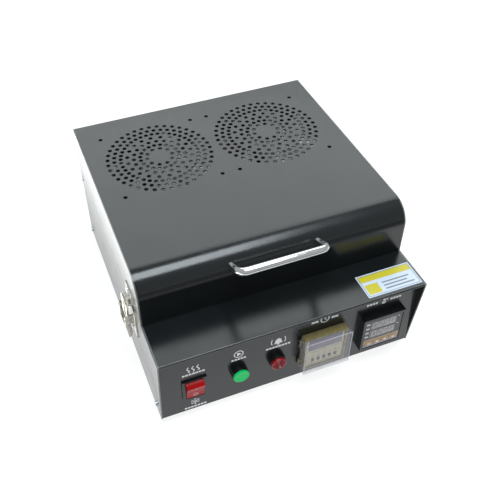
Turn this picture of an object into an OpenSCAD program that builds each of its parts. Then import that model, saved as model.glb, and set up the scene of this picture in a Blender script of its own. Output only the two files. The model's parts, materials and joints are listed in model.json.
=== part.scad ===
// Bench reflow oven: a sheet-metal base with a hot plate, a rear-hinged lid with two
// cooling fans, a toggle latch on the left side and a control panel below a front shelf.
// Case coordinates: X runs across the case from its middle, Y runs to the back from the
// rear face (so the case lies at negative Y), Z runs up from the floor.

/* [Case] */
// Width over the side panels
case_w = 280; // [260:1:320]
// Depth from the rear face to the shelf's front edge
case_d = 309; // [300:1:340]
// Height of the base's side panels
base_h = 97.5; // [94:0.5:120]
// Thickness of the steel sheet
sheet_t = 1.2; // [1:0.1:1.5]
// Height of the rubber feet
foot_h = 10; // [6:1:16]
// How far the side panels' front edges lean back at the bottom
front_lean = 9.5; // [0:0.5:12]
// How far the control panel lies behind the shelf's front edge
panel_recess = 9; // [6:0.5:12]

/* [Lid] */
// Depth of the lid
lid_d = 257; // [250:1:270]
// Height of the lid from the parting line to its top
lid_h = 57; // [54:0.5:64]
// Outer radius of the lid's rounded front edge
lid_r = 23; // [15:0.5:28]
// Parting gap between lid and base
lid_gap = 0.6; // [0.5:0.1:1]
// Direction of the handle's posts above the horizontal
handle_tilt = 27; // [0:1:45]
// Distance from the lid's face to the middle of the handle's bar
handle_reach = 23; // [18:1:30]
// Distance between the handle's posts
handle_pitch = 90; // [80:1:120]

/* [Vents and fans] */
// Distance between the two vents' centres
vent_pitch = 124.5; // [122:0.5:130]
// Sideways offset of the pair of vents
vent_shift = -1; // [-3:0.5:3]
// Distance of the vents' centres from the rear face
vent_back = 84.4; // [80:0.1:100]
// Step between the rings of vent holes
ring_step = 7; // [6.5:0.1:7.2]
// Diameter of a vent hole
vent_hole_d = 4.5; // [3:0.1:4.8]
// Side of the square fan frame
fan_size = 120; // [118:1:120]
// Height of the fan frame
fan_h = 25; // [20:1:25]
// Spacing of the fan's four screws
fan_bolt_pitch = 105; // [104:0.5:105]

/* [Controls] */
// Height of the controls' centre line above the base's bottom edge
controls_z = 41.5; // [38:0.5:45]
// Height of the rocker switch's centre above the base's bottom edge
rocker_z = 37.3; // [34:0.1:42]
// Place of the rocker switch across the panel
rocker_x = -103.8; // [-112:0.1:-96]
// Place of the start button across the panel
start_x = -57.5; // [-62:0.5:-50]
// Place of the buzzer across the panel
buzzer_x = -17.2; // [-24:0.2:-12]
// Place of the timer across the panel
timer_x = 33.6; // [30:0.2:36]
// Place of the temperature controller across the panel
controller_x = 99.7; // [96:0.1:104]
// Side of the timer's and the controller's square bezels
bezel = 48; // [48:1:48]
// How far the bezels stand out of the panel
bezel_out = 8; // [6:0.5:10]
// Diameter of the start button's and the buzzer's collars
collar_d = 18; // [17:0.5:20]
// Travel of the start button
start_travel = 1.8; // [1:0.1:2]
// Travel of a key or a timer tab
key_travel = 0.8; // [0.4:0.1:1]

/* [Latch] */
// Distance of the latch from the rear face
latch_back = 222; // [210:1:230]
// Width of the latch's base plate
latch_w = 26; // [24:1:30]
// Distance of the lever's pivot from the side panel
latch_pivot_out = 7.5; // [7:0.5:8]
// Height of the lever's pivot above the base's bottom edge
latch_pivot_z = 86; // [84:0.5:88]

/* [Hot plate] */
// Width of the heating plate
plate_w = 220; // [180:5:224]
// Depth of the heating plate
plate_d = 196; // [160:4:200]
// Thickness of the heating plate
plate_t = 6; // [4:0.5:7]

/* [Hidden] */
$fn = 64;

// Levels and planes
half_w = case_w / 2;
inner_w = half_w - sheet_t - 0.2;        // where the parts between the side panels end
base_z = foot_h;                         // bottom edge of the base
shelf_z = base_z + base_h;               // top of the shelf, the parting line
lid_z = shelf_z + lid_gap;               // bottom edge of the lid
top_z = shelf_z + lid_h;                 // top of the lid
panel_y = panel_recess - case_d;         // front face of the control panel
controls_h = base_z + controls_z;
rocker_h = base_z + rocker_z;
tray_z = base_z + 0.4;                   // underside of the bottom plate
tray_top = tray_z + sheet_t;

// Chamber
well_x = 118;                            // half width inside the pan's well
well_front = -237;
well_back = -23;
pan_z = shelf_z - 2.9;                   // underside of the pan's flange
pan_t = 1.2;
pan_floor_z = base_z + 73;
plate_z = shelf_z - 15.5;                // underside of the heating plate
well_mid_y = (well_front + well_back) / 2;
element_r = 3;
element_y = [-62, 62];                   // middle of each heater from the plate's middle
element_half = 22;                       // half the distance between a heater's legs
element_len = 74;                        // half the length of a heater's straight legs
standoff_pos = [for (sx = [-1, 1], sy = [-1, 1]) [sx * 96, well_mid_y + sy * 84]];

// Lid
skin_w = 2 * inner_w;
vent_x = [vent_shift - vent_pitch / 2, vent_shift + vent_pitch / 2];
vent_y = -vent_back;
fan_top = top_z - sheet_t - 0.2;
fan_z = fan_top - fan_h;
fan_duct_r = fan_size / 2 - 2.5;
rotor_r = fan_duct_r - 1.2;
rotor_shaft_r = 4;
rotor_z = fan_z + 6.5;
rotor_h = 15.5;
baffle_z = fan_z - 6;
baffle_x = 131;
baffle_front = -247;
baffle_back = -7;
fold_y = lid_r - lid_d;                  // axis of the lid's rounded front edge
fold_z = top_z - lid_r;
handle_x = -1.5;
bar_r = 4;
bar_bend = 9;

// Hinges
hinge_y = 3.6;
hinge_z = shelf_z + lid_gap / 2;
barrel_r = 3.2;
hinge_pin_r = 1.6;
hinge_x = [-85, 85];
knuckles = 5;
knuckle_w = 10;
leaf_t = 1.5;
leaf_h = 24;

// Latch, measured outward from the left side panel
latch_y = -latch_back;
pivot_z = base_z + latch_pivot_z;
cheek_y = 9.5;                           // half the distance inside the lever's cheeks
cheek_t = 1.2;
cheek_r = 2.6;
ear_y = cheek_y + cheek_t + 0.3;         // half the distance inside the base's ears
loop_r = 1.1;
loop_y = 7.4;                            // half the distance between the loop's legs
loop_out = latch_pivot_out - 1;
loop_z = pivot_z - 8;                    // the loop's own pivot
loop_top = shelf_z + 7;
lever_out = latch_pivot_out + 2;         // inner face of the lever's web at its top
lever_low = pivot_z - 27;
lever_low_out = 5.4;                     // inner face of the web at its lower end
lever_lip = 2.4;
strike_lip = loop_out - loop_r - 0.4;    // outer face of the strike's lip
latch_reach = latch_pivot_out + 3.6;    // outer edge of the latch's ears

// Timer cover
cover_gap = 0.7;
cover_t = 1.1;
cover_out = 13.8;                        // front of the cover from the panel
cover_h = 46.6;
cover_w = bezel + 2 * (cover_gap + cover_t);
cover_pin_r = 0.6;
cover_axis_x = timer_x - cover_w / 2 - 0.2;
cover_axis_y = panel_y - 2.4;
cover_knuckle_r = 1.4;
cover_knuckles = [-15, 15];

// Timer and controller faces
timer_tab_pitch = 6.35;
timer_tab_z = controls_h - 12.5;
timer_face_y = panel_y - bezel_out + 1.6;
controller_key_pitch = 9.4;
controller_key_z = controls_h - 15.2;
controller_key_w = 8.4;
controller_key_h = 5;

// Rocker switch: the frame, and the key that lies with its lower end pressed in
rocker_w = 25.8;
rocker_tall = 29.4;
rocker_out = 2;
rocker_key_w = 18.4;
rocker_key_r = 13;                       // the key's round ends, about its pivot
rocker_corner = [-7.8, 10.4];            // tip of the key's face from its pivot
rocker_crease = -6.5;                    // the hollow line across the face, from the pivot
rocker_throw = 13;                       // half of the key's swing
rocker_axis_y = panel_y + 3;

// Screws
screw_r = 1.5;
screw_hole_r = 1.7;
screw_head_r = 2.8;
screw_head_h = 1.6;
side_screws = [[-8, base_z + 7], [-148, base_z + 7], [-284, base_z + 7], [-6, base_z + 87]];
inlet_x = 92;
inlet_z = base_z + 30;
inlet_screws = [for (s = [-1, 1]) [inlet_x + s * 20, inlet_z]];
hinge_screw_x = [for (h = hinge_x, s = [-1, 1]) h + s * 15];
hinge_screw_drop = 15;                   // from the hinge's axis to its screws
foot_pos = [for (sx = [-1, 1], y = [-24, -280]) [sx * (half_w - 24), y]];
foot_r = 10;
latch_screw_z = [base_z + 61, base_z + 72];
strike_screw_z = [shelf_z + 10, shelf_z + 17];

// The row's origin: the middle of the overall box, on the floor
box_left = -half_w - latch_reach;
box_right = half_w + screw_head_h;
box_front = panel_y - cover_out;
box_back = hinge_y + barrel_r;
origin = [(box_left + box_right) / 2, (box_front + box_back) / 2, 0];

// ---------- helpers ----------

// A box from its low corner to its high corner
module block(low, high) {
  translate(low) cube(high - low);
}

// Extrudes a (Y, Z) outline along X
module along_x(x, length) {
  translate([x, 0, 0]) rotate([90, 0, 90]) linear_extrude(length) children();
}

// Extrudes an (X, Z) outline along Y, from y_front backwards
module along_y(y_front, depth) {
  translate([0, y_front + depth, 0]) rotate([90, 0, 0]) linear_extrude(depth) children();
}

// A cylinder along X, Y: from the given start, in the positive direction
module rod_x(start, r, length) {
  translate(start) rotate([0, 90, 0]) cylinder(r = r, h = length);
}

module rod_y(start, r, length) {
  translate(start) rotate([-90, 0, 0]) cylinder(r = r, h = length);
}

// A square with rounded corners, centred
module rounded(size, r) {
  for (sx = [-1, 1], sy = [-1, 1])
    translate([sx * (size[0] / 2 - r), sy * (size[1] / 2 - r)]) circle(r);
  square([size[0] - 2 * r, size[1]], center = true);
  square([size[0], size[1] - 2 * r], center = true);
}

// Outline of the lid seen from its side, drawn inwards by inset
module lid_outline(inset) {
  r = lid_r - inset;
  translate([fold_y, fold_z]) circle(r);
  translate([-lid_d + inset, lid_z]) square([lid_r, fold_z - lid_z]);
  translate([fold_y, lid_z]) square([lid_d - lid_r - inset, top_z - inset - lid_z]);
}

// One pan-head screw along +Z: its head's underside lies at the origin
module screw(length, r = screw_r, head_r = screw_head_r, head_h = screw_head_h) {
  difference() {
    union() {
      translate([0, 0, -length]) cylinder(r = r, h = length + 0.1);
      cylinder(r = head_r, h = head_h);
    }
    for (a = [0, 90])
      rotate(a) translate([-head_r * 0.62, -head_r * 0.13, head_h * 0.5])
        cube([head_r * 1.24, head_r * 0.26, head_h]);
  }
}

// ---------- base ----------

module side_panel(side) {
  color([0.09, 0.095, 0.1]) difference() {
    along_x(side > 0 ? half_w - sheet_t : -half_w, sheet_t)
      polygon([[0, base_z], [0, shelf_z], [-case_d, shelf_z], [front_lean - case_d, base_z]]);
    for (p = side_screws)
      rod_x([side * half_w - 3, p[0], p[1]], screw_hole_r, 6);
    if (side < 0)
      for (z = latch_screw_z)
        rod_x([-half_w - 1, latch_y, z], screw_hole_r, 4);
  }
}

module base_tray() {
  flange_h = 13;
  front = panel_y + sheet_t + 0.2;
  back = -sheet_t - 0.2;
  color([0.35, 0.36, 0.37]) difference() {
    block([-inner_w, front, tray_z], [inner_w, back, tray_z + flange_h]);
    block([-inner_w + sheet_t, front + sheet_t, tray_top],
          [inner_w - sheet_t, back - sheet_t, tray_z + flange_h + 1]);
    // Cooling slots in the bottom plate
    for (row = [-1, 1], i = [0:7])
      block([row * 48 - 28, -250 + i * 26, tray_z - 1], [row * 48 + 28, -245 + i * 26, tray_top + 1]);
    for (p = foot_pos)
      translate([p[0], p[1], tray_z - 1]) cylinder(r = 2.2, h = 4);
    for (side = [-1, 1], p = side_screws)
      if (p[1] < tray_z + flange_h)
        rod_x([side * inner_w - 4, p[0], p[1]], screw_hole_r, 8);
  }
}

module shelf_cover() {
  hem_h = 3;
  back = -lid_d + 5;
  color([0.09, 0.095, 0.1]) {
    block([-inner_w, 1 - case_d, shelf_z - sheet_t], [inner_w, back, shelf_z]);
    // Hem folded under along the front edge, with its outer edge rounded
    rod_x([-inner_w, hem_h / 2 - case_d, shelf_z - hem_h / 2], hem_h / 2, 2 * inner_w);
    block([-inner_w, hem_h / 2 - case_d, shelf_z - hem_h],
          [inner_w, 6 - case_d, shelf_z - hem_h + sheet_t]);
    block([-inner_w, hem_h / 2 - case_d, shelf_z - hem_h], [inner_w, 3 - case_d, shelf_z]);
  }
}

module control_panel() {
  cut = bezel - 3;
  color([0.09, 0.095, 0.1]) difference() {
    block([-inner_w, panel_y, base_z + 2], [inner_w, panel_y + sheet_t, shelf_z - 3.2]);
    for (x = [timer_x, controller_x])
      along_y(panel_y - 1, 4) translate([x, controls_h]) square(cut, center = true);
    for (x = [start_x, buzzer_x])
      rod_y([x, panel_y - 1, controls_h], 8.1, 4);
    along_y(panel_y - 1, 4) translate([rocker_x, rocker_h]) square([22.6, 28.2], center = true);
  }
}

module rear_panel() {
  color([0.09, 0.095, 0.1]) difference() {
    block([-inner_w, -sheet_t, base_z + 1], [inner_w, 0, shelf_z - 3.2]);
    block([inlet_x - 13.9, -3, inlet_z - 10], [inlet_x + 13.9, 1, inlet_z + 10]);
    for (p = inlet_screws)
      rod_y([p[0], -3, p[1]], screw_hole_r, 5);
    for (x = hinge_screw_x)
      rod_y([x, -3, hinge_z - hinge_screw_drop], screw_hole_r, 5);
    // Louvre slots for the wiring bay
    for (i = [0:9])
      block([-104 + i * 14, -3, base_z + 22], [-100 + i * 14, 1, base_z + 58]);
  }
}

// Pressed pan: a flange between the side panels and a well for the hot plate
module chamber_pan() {
  well_t = 1;
  color([0.72, 0.73, 0.74]) difference() {
    union() {
      block([-inner_w, 1 - lid_d, pan_z], [inner_w, -sheet_t - 0.2, pan_z + pan_t]);
      block([-well_x - well_t, well_front - well_t, pan_floor_z],
            [well_x + well_t, well_back + well_t, pan_z + 0.1]);
    }
    block([-well_x, well_front, pan_floor_z + well_t], [well_x, well_back, shelf_z]);
    element_leads(element_r + 1.2, 20);
    rod_y([60, well_back - 1, plate_z + plate_t / 2], 3.2, 4);
  }
}

// The vertical leads of both heaters, also used to drill the holes that they pass through
module element_leads(r, drop) {
  for (y = element_y, s = [-1, 1])
    translate([element_len, well_mid_y + y + s * element_half, plate_z - element_r - 0.3 - drop])
      cylinder(r = r, h = drop);
}

module insulation_board() {
  color([0.9, 0.88, 0.82]) difference() {
    block([-124, well_front - 5, pan_floor_z - 8.2], [124, well_back + 5, pan_floor_z - 0.2]);
    element_leads(element_r + 1.2, 30);
  }
}

module heating_plate() {
  edge = 1;
  color([0.78, 0.79, 0.8]) difference() {
    union() {
      block([-plate_w / 2, well_mid_y - plate_d / 2, plate_z],
            [plate_w / 2, well_mid_y + plate_d / 2, plate_z + plate_t - edge]);
      block([-plate_w / 2 + edge, well_mid_y - plate_d / 2 + edge, plate_z],
            [plate_w / 2 - edge, well_mid_y + plate_d / 2 - edge, plate_z + plate_t]);
    }
    for (p = standoff_pos)
      translate([p[0], p[1], plate_z - 1]) cylinder(r = 2.2, h = 4);
    rod_y([60, well_mid_y + plate_d / 2 - 24, plate_z + plate_t / 2], 1.7, 30);
  }
}

// Two U-shaped tubular heaters under the plate, their ends turned down through the pan
module heating_elements() {
  z = plate_z - element_r - 0.3;
  color([0.45, 0.42, 0.38]) {
    for (y = element_y) {
      translate([0, well_mid_y + y, z]) {
        for (s = [-1, 1])
          rod_x([-element_len, s * element_half, 0], element_r, 2 * element_len);
        translate([-element_len, 0, 0]) rotate(90)
          rotate_extrude(angle = 180) translate([element_half, 0]) circle(element_r);
        for (s = [-1, 1])
          translate([element_len, s * element_half, 0]) sphere(element_r);
      }
    }
    element_leads(element_r, 26);
  }
}

module plate_standoffs() {
  color([0.8, 0.8, 0.78]) for (p = standoff_pos)
    translate([p[0], p[1], pan_floor_z + 1]) {
      cylinder(r = 5, h = plate_z - pan_floor_z - 1);
      translate([0, 0, plate_z - pan_floor_z - 1.1]) cylinder(r = 2, h = 3);
    }
}

module thermocouple() {
  y_tip = well_mid_y + plate_d / 2 - 22;
  z = plate_z + plate_t / 2;
  color([0.7, 0.7, 0.72]) {
    rod_y([60, y_tip, z], 1.5, well_back + 16 - y_tip);
    translate([60, well_back + 1, z]) rotate([-90, 0, 0]) cylinder(r = 5.2, h = 4, $fn = 6);
    rod_y([60, well_back - 0.1, z], 3, 12);
  }
}

module solid_state_relay() {
  low = [-78, -120, tray_top];
  color([0.86, 0.86, 0.84]) difference() {
    union() {
      block(low + [0, 0, 4], low + [58, 45, 26]);
      block(low + [-6, -4, 0], low + [64, 49, 4.1]);
    }
    for (sx = [0, 1], sy = [0, 1])
      translate(low + [6 + sx * 46, 9 + sy * 27, 18]) cylinder(r = 4, h = 9);
  }
}

module terminal_block() {
  low = [28, -96, tray_top];
  color([0.15, 0.15, 0.16]) difference() {
    block(low, low + [66, 22, 16]);
    for (i = [0:5])
      block(low + [3 + i * 10.4, -1, 9], low + [10.6 + i * 10.4, 23, 17]);
  }
}

// Appliance inlet in the rear panel: flange, body with its socket recess, three blades
module power_inlet() {
  color([0.05, 0.05, 0.05]) {
    difference() {
      union() {
        along_y(0, 3) translate([inlet_x, inlet_z]) rounded([50, 24], 5);
        block([inlet_x - 13.6, -22, inlet_z - 9.7], [inlet_x + 13.6, 0.1, inlet_z + 9.7]);
      }
      block([inlet_x - 12.2, -16, inlet_z - 8], [inlet_x + 12.2, 4, inlet_z + 8]);
      for (p = inlet_screws)
        rod_y([p[0], -1, p[1]], screw_hole_r, 6);
    }
    for (p = [[-7, -2.5], [7, -2.5], [0, 1]])
      block([inlet_x + p[0] - 1, -17, inlet_z + p[1] - 3], [inlet_x + p[0] + 1, -4, inlet_z + p[1] + 1]);
  }
}

module rubber_feet() {
  color([0.06, 0.06, 0.06]) for (p = foot_pos)
    translate([p[0], p[1], 0]) difference() {
      union() {
        cylinder(r1 = foot_r - 1, r2 = foot_r, h = 2);
        translate([0, 0, 2]) cylinder(r = foot_r, h = tray_z - 2);
      }
      translate([0, 0, -1]) cylinder(r = 4.4, h = 5);
      cylinder(r = 2.2, h = tray_z + 1);
    }
}

// All screws of the base: sides, inlet, hinges, latch and feet
module case_screws() {
  color([0.7, 0.71, 0.72]) {
    for (side = [-1, 1], p = side_screws)
      translate([side * half_w, p[0], p[1]]) rotate([0, side * 90, 0]) screw(6);
    for (p = inlet_screws)
      translate([p[0], 3, p[1]]) rotate([-90, 0, 0]) screw(8);
    for (x = hinge_screw_x)
      translate([x, leaf_t, hinge_z - hinge_screw_drop]) rotate([-90, 0, 0]) screw(7);
    for (z = latch_screw_z)
      translate([-half_w - 1.2, latch_y, z]) rotate([0, -90, 0]) screw(6);
    for (p = foot_pos)
      translate([p[0], p[1], 4]) rotate([180, 0, 0]) screw(12, 2, 4, 2);
  }
}

module safety_label() {
  color([0.95, 0.95, 0.93])
    block([77.5, -304.8, shelf_z], [137.5, -275.3, shelf_z + 0.2]);
}

// ---------- controls ----------

module rocker_frame() {
  wall = 1.5;
  cavity = [rocker_key_w + 0.8, 2 * rocker_key_r + 0.6];
  body = [cavity[0] + 2 * wall, cavity[1] + 1.2];
  color([0.04, 0.04, 0.04]) difference() {
    union() {
      along_y(panel_y - rocker_out, rocker_out) translate([rocker_x, rocker_h])
        rounded([rocker_w, rocker_tall], 1);
      along_y(panel_y - 0.1, 24) translate([rocker_x, rocker_h]) square(body, center = true);
    }
    along_y(panel_y - rocker_out - 1, 21) translate([rocker_x, rocker_h]) square(cavity, center = true);
    rod_x([rocker_x - 12.5, rocker_axis_y, rocker_h], 1.25, 25);
  }
}

// Two flat faces that meet in a shallow hollow, between round ends that turn past the frame
module rocker_key() {
  color([0.75, 0.03, 0.03])
    translate([rocker_x, rocker_axis_y, rocker_h]) rotate([rocker_throw, 0, 0]) {
      along_x(-rocker_key_w / 2, rocker_key_w) intersection() {
        circle(rocker_key_r);
        polygon([[rocker_corner[0], -rocker_corner[1]], [rocker_crease, 0], rocker_corner,
                 [0, rocker_key_r + 4], [6, 3], [6, -3], [0, -rocker_key_r - 4]]);
      }
      rod_x([-rocker_key_w / 2 - 1.2, 0, 0], 1.2, rocker_key_w + 2.4);
    }
}

// Threaded body and collar that the start button and the buzzer share
module collar_body(x, collar_out, bore_r, bore_depth) {
  difference() {
    union() {
      rod_y([x, panel_y - collar_out, controls_h], collar_d / 2, collar_out);
      rod_y([x, panel_y - 0.1, controls_h], 7.9, 26);
      rod_y([x, panel_y + 25.8, controls_h], 6.5, 4);
    }
    rod_y([x, panel_y - collar_out - 1, controls_h], bore_r, bore_depth + 1);
  }
}

module start_button_body() {
  color([0.03, 0.03, 0.03]) collar_body(start_x, 6.2, collar_d / 2 - 0.7, 4.6);
}

module start_button_cap() {
  cap_r = collar_d / 2 - 0.78;
  front = panel_y - 8.2;
  color([0.1, 0.75, 0.3]) {
    rod_y([start_x, front + 0.6, controls_h], cap_r, 3.9);
    rod_y([start_x, front, controls_h], cap_r - 0.6, 1);
  }
}

module buzzer_body() {
  color([0.03, 0.03, 0.03]) collar_body(buzzer_x, 5.6, collar_d / 2 - 0.9, 1.5);
}

module buzzer_lens() {
  front = panel_y - 8.6;
  color([0.7, 0.03, 0.05]) {
    rod_y([buzzer_x, front + 1, controls_h], collar_d / 2 - 1, 3.5);
    translate([buzzer_x, front + 1, controls_h]) rotate([90, 0, 0])
      cylinder(r1 = collar_d / 2 - 1, r2 = collar_d / 2 - 3.5, h = 1);
  }
}

module collar_nuts() {
  color([0.1, 0.1, 0.1]) for (x = [start_x, buzzer_x])
    difference() {
      translate([x, panel_y + sheet_t, controls_h]) rotate([-90, 0, 0]) cylinder(r = 11, h = 4, $fn = 6);
      rod_y([x, panel_y, controls_h], 7.95, 8);
    }
}

// ---------- timer ----------

module timer_case() {
  color([0.08, 0.08, 0.08]) {
    along_y(panel_y - 0.1, 84) translate([timer_x, controls_h]) rounded([44.6, 44.6], 2);
    for (i = [-1, 1])
      along_y(panel_y + 83.8, 7) translate([timer_x + i * 12, controls_h]) square([14, 34], center = true);
  }
}

// Bezel with a pocket for the face, and two pairs of lugs that carry the cover's pins
module timer_bezel() {
  lug_t = 1.4;
  color([0.55, 0.5, 0.25]) {
    difference() {
      along_y(panel_y - bezel_out, bezel_out - 0.1) translate([timer_x, controls_h])
        rounded([bezel, bezel], 1.5);
      along_y(panel_y - bezel_out - 1, bezel_out - 1) translate([timer_x, controls_h])
        square([bezel - 5.6, bezel - 4.4], center = true);
    }
    for (k = cover_knuckles, s = [-1, 1])
      block([cover_axis_x - 1.2, cover_axis_y - 1.2, controls_h + k + s * 3.4 - lug_t / 2],
            [timer_x - bezel / 2 + 0.1, cover_axis_y + 1.2, controls_h + k + s * 3.4 + lug_t / 2]);
    for (k = cover_knuckles)
      translate([cover_axis_x, cover_axis_y, controls_h + k - 3.4])
        cylinder(r = cover_pin_r, h = 6.8);
  }
}

module timer_face() {
  color([0.85, 0.8, 0.62]) difference() {
    block([timer_x - bezel / 2 + 3, timer_face_y, controls_h - bezel / 2 + 2.4],
          [timer_x + bezel / 2 - 3, panel_y - 2.2, controls_h + bezel / 2 - 2.4]);
    for (i = [1:5])
      timer_tab_block(i, 0.1, 4);
  }
}

// The space of one timer tab, grown by a gap all round and reaching depth behind the face
module timer_tab_block(i, gap, depth) {
  x = timer_x + (i - 3) * timer_tab_pitch;
  block([x - 1.4 - gap, timer_face_y - 1.2 - gap, timer_tab_z - 1.5 - gap],
        [x + 1.4 + gap, timer_face_y + depth, timer_tab_z + 1.5 + gap]);
}

module timer_tab(i) {
  color([0.2, 0.19, 0.17]) timer_tab_block(i, 0, 2.4);
}

// Clear cover: front plate, four walls, and knuckles on the left that turn on the bezel's pins
module timer_cover() {
  front = panel_y - cover_out;
  back = panel_y - 2.2;
  face_gap = 0.5;
  color([0.8, 0.85, 0.9, 0.4]) difference() {
    union() {
      along_y(front, back - front) translate([timer_x, controls_h])
        square([cover_w, cover_h], center = true);
      for (k = cover_knuckles)
        translate([cover_axis_x, cover_axis_y, controls_h + k - 2.4])
          cylinder(r = cover_knuckle_r, h = 4.8);
    }
    along_y(front + cover_t, 20) translate([timer_x, controls_h])
      square([cover_w - 2 * cover_t, cover_h - 2 * cover_t], center = true);
    // The top and bottom walls end in front of the bezel's face
    for (s = [-1, 1])
      along_y(panel_y - bezel_out - face_gap, bezel_out + face_gap)
        translate([timer_x, controls_h + s * cover_h / 2]) square([cover_w - 2 * cover_t, 6], center = true);
    for (k = cover_knuckles) {
      translate([cover_axis_x, cover_axis_y, controls_h + k - 5])
        cylinder(r = cover_pin_r + 0.05, h = 10);
      for (s = [-1, 1])
        block([cover_axis_x - 2, cover_axis_y - 2.1, controls_h + k + s * 3.4 - 1],
              [timer_x - bezel / 2, panel_y, controls_h + k + s * 3.4 + 1]);
    }
  }
}

// ---------- temperature controller ----------

module controller_case() {
  color([0.03, 0.03, 0.03]) difference() {
    union() {
      along_y(panel_y - 0.1, 84) translate([controller_x, controls_h]) rounded([44.6, 44.6], 2);
      along_y(panel_y - bezel_out, bezel_out) translate([controller_x, controls_h])
        rounded([bezel, bezel], 1.2);
    }
    along_y(panel_y - bezel_out - 1, 5) translate([controller_x, controls_h])
      square([bezel - 5.2, bezel - 5.2], center = true);
  }
}

module controller_face() {
  size = bezel - 5.6;
  color([0.32, 0.33, 0.35]) difference() {
    along_y(panel_y - bezel_out + 0.6, 3) translate([controller_x, controls_h])
      square(size, center = true);
    for (i = [1:4])
      controller_key_block(i, 0.1, 6);
  }
}

module controller_key_block(i, gap, depth) {
  x = controller_x + (i - 2.5) * controller_key_pitch;
  front = panel_y - bezel_out - 0.3;
  block([x - controller_key_w / 2 - gap, front - gap, controller_key_z - controller_key_h / 2 - gap],
        [x + controller_key_w / 2 + gap, front + depth, controller_key_z + controller_key_h / 2 + gap]);
}

module controller_key(i) {
  color([0.6, 0.5, 0.4]) controller_key_block(i, 0, 2.6);
}

// Clamp frames that hold both instruments from behind the panel
module instrument_clamps() {
  color([0.25, 0.25, 0.27]) for (x = [timer_x, controller_x])
    along_y(panel_y + sheet_t + 0.2, 8) translate([x, controls_h]) difference() {
      square([52, 52], center = true);
      square([45, 45], center = true);
    }
}

// ---------- latch ----------

// Places (outward, up) outlines on the left side, extruded along Y about the latch's middle
module latch_slice(y, width) {
  translate([-half_w, latch_y + y + width, 0]) rotate([90, 0, 0]) linear_extrude(width)
    mirror([1, 0]) children();
}

module latch_base() {
  plate_low = base_z + 55;
  plate_high = shelf_z - 2;
  color([0.75, 0.74, 0.7]) difference() {
    union() {
      latch_slice(-latch_w / 2, latch_w) translate([0, plate_low]) square([1.2, plate_high - plate_low]);
      for (s = [-1, 1])
        latch_slice(s > 0 ? ear_y : -ear_y - cheek_t, cheek_t) {
          translate([0, pivot_z - 7]) square([latch_pivot_out, 12]);
          translate([latch_pivot_out, pivot_z]) circle(3.6);
        }
      // Rivets that the lever's cheeks turn on
      for (s = [-1, 1])
        rod_y([-half_w - latch_pivot_out, latch_y + (s > 0 ? cheek_y - 0.6 : -ear_y - 0.1), pivot_z],
              1.5, ear_y - cheek_y + 0.7);
    }
    for (z = latch_screw_z)
      rod_x([-half_w - 3, latch_y, z], screw_hole_r, 6);
  }
}

// Channel lever: a sloping web with a thumb lip, and two cheeks that carry the pivots
module latch_lever() {
  web_top = loop_z - 5;
  color([0.8, 0.79, 0.75]) difference() {
    union() {
      latch_slice(-cheek_y - cheek_t, 2 * (cheek_y + cheek_t))
        polygon([[lever_out, web_top], [lever_low_out, lever_low],
                 [lever_low_out + lever_lip, lever_low - lever_lip],
                 [lever_low_out + lever_lip + 0.9, lever_low - lever_lip + 0.8],
                 [lever_low_out + cheek_t + 0.3, lever_low + 0.3], [lever_out + cheek_t, web_top]]);
      for (s = [-1, 1])
        latch_slice(s > 0 ? cheek_y : -cheek_y - cheek_t, cheek_t) {
          translate([latch_pivot_out, pivot_z]) circle(cheek_r);
          polygon([[latch_pivot_out - cheek_r, pivot_z], [latch_pivot_out - cheek_r, loop_z - 3],
                   [lever_low_out - 1, lever_low + 5], [lever_low_out + 0.5, lever_low],
                   [lever_out + cheek_t, web_top], [latch_pivot_out + cheek_r, pivot_z]]);
        }
    }
    rod_y([-half_w - latch_pivot_out, latch_y - 20, pivot_z], 1.55, 40);
    rod_y([-half_w - loop_out, latch_y - 20, loop_z], loop_r + 0.05, 40);
  }
}

// Closed wire loop with two bends at its top; its lower bar is its pivot in the lever's cheeks
module latch_loop() {
  bend = 3;
  x = -half_w - loop_out;
  color([0.82, 0.81, 0.78]) translate([x, latch_y, 0]) {
    rod_y([0, -cheek_y - cheek_t, loop_z], loop_r, 2 * (cheek_y + cheek_t));
    rod_y([0, bend - loop_y, loop_top], loop_r, 2 * (loop_y - bend));
    for (s = [-1, 1]) {
      translate([0, s * loop_y, loop_z]) cylinder(r = loop_r, h = loop_top - bend - loop_z);
      translate([0, s * (loop_y - bend), loop_top - bend]) rotate([90, 0, s > 0 ? 90 : -90])
        rotate_extrude(angle = 90) translate([bend, 0]) circle(loop_r);
    }
  }
}

module latch_strike() {
  hook_z = shelf_z + 3.2;
  color([0.75, 0.74, 0.7]) difference() {
    union() {
      latch_slice(-9, 18) {
        translate([0, hook_z - 1]) square([1.2, strike_screw_z[1] + 3.6 - hook_z + 1]);
        translate([0, hook_z]) square([strike_lip, 1.2]);
        translate([strike_lip - 1.1, hook_z]) square([1.1, 4]);
      }
    }
    for (z = strike_screw_z)
      rod_x([-half_w - 3, latch_y, z], screw_hole_r, 6);
  }
}

// ---------- hinges ----------

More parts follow.
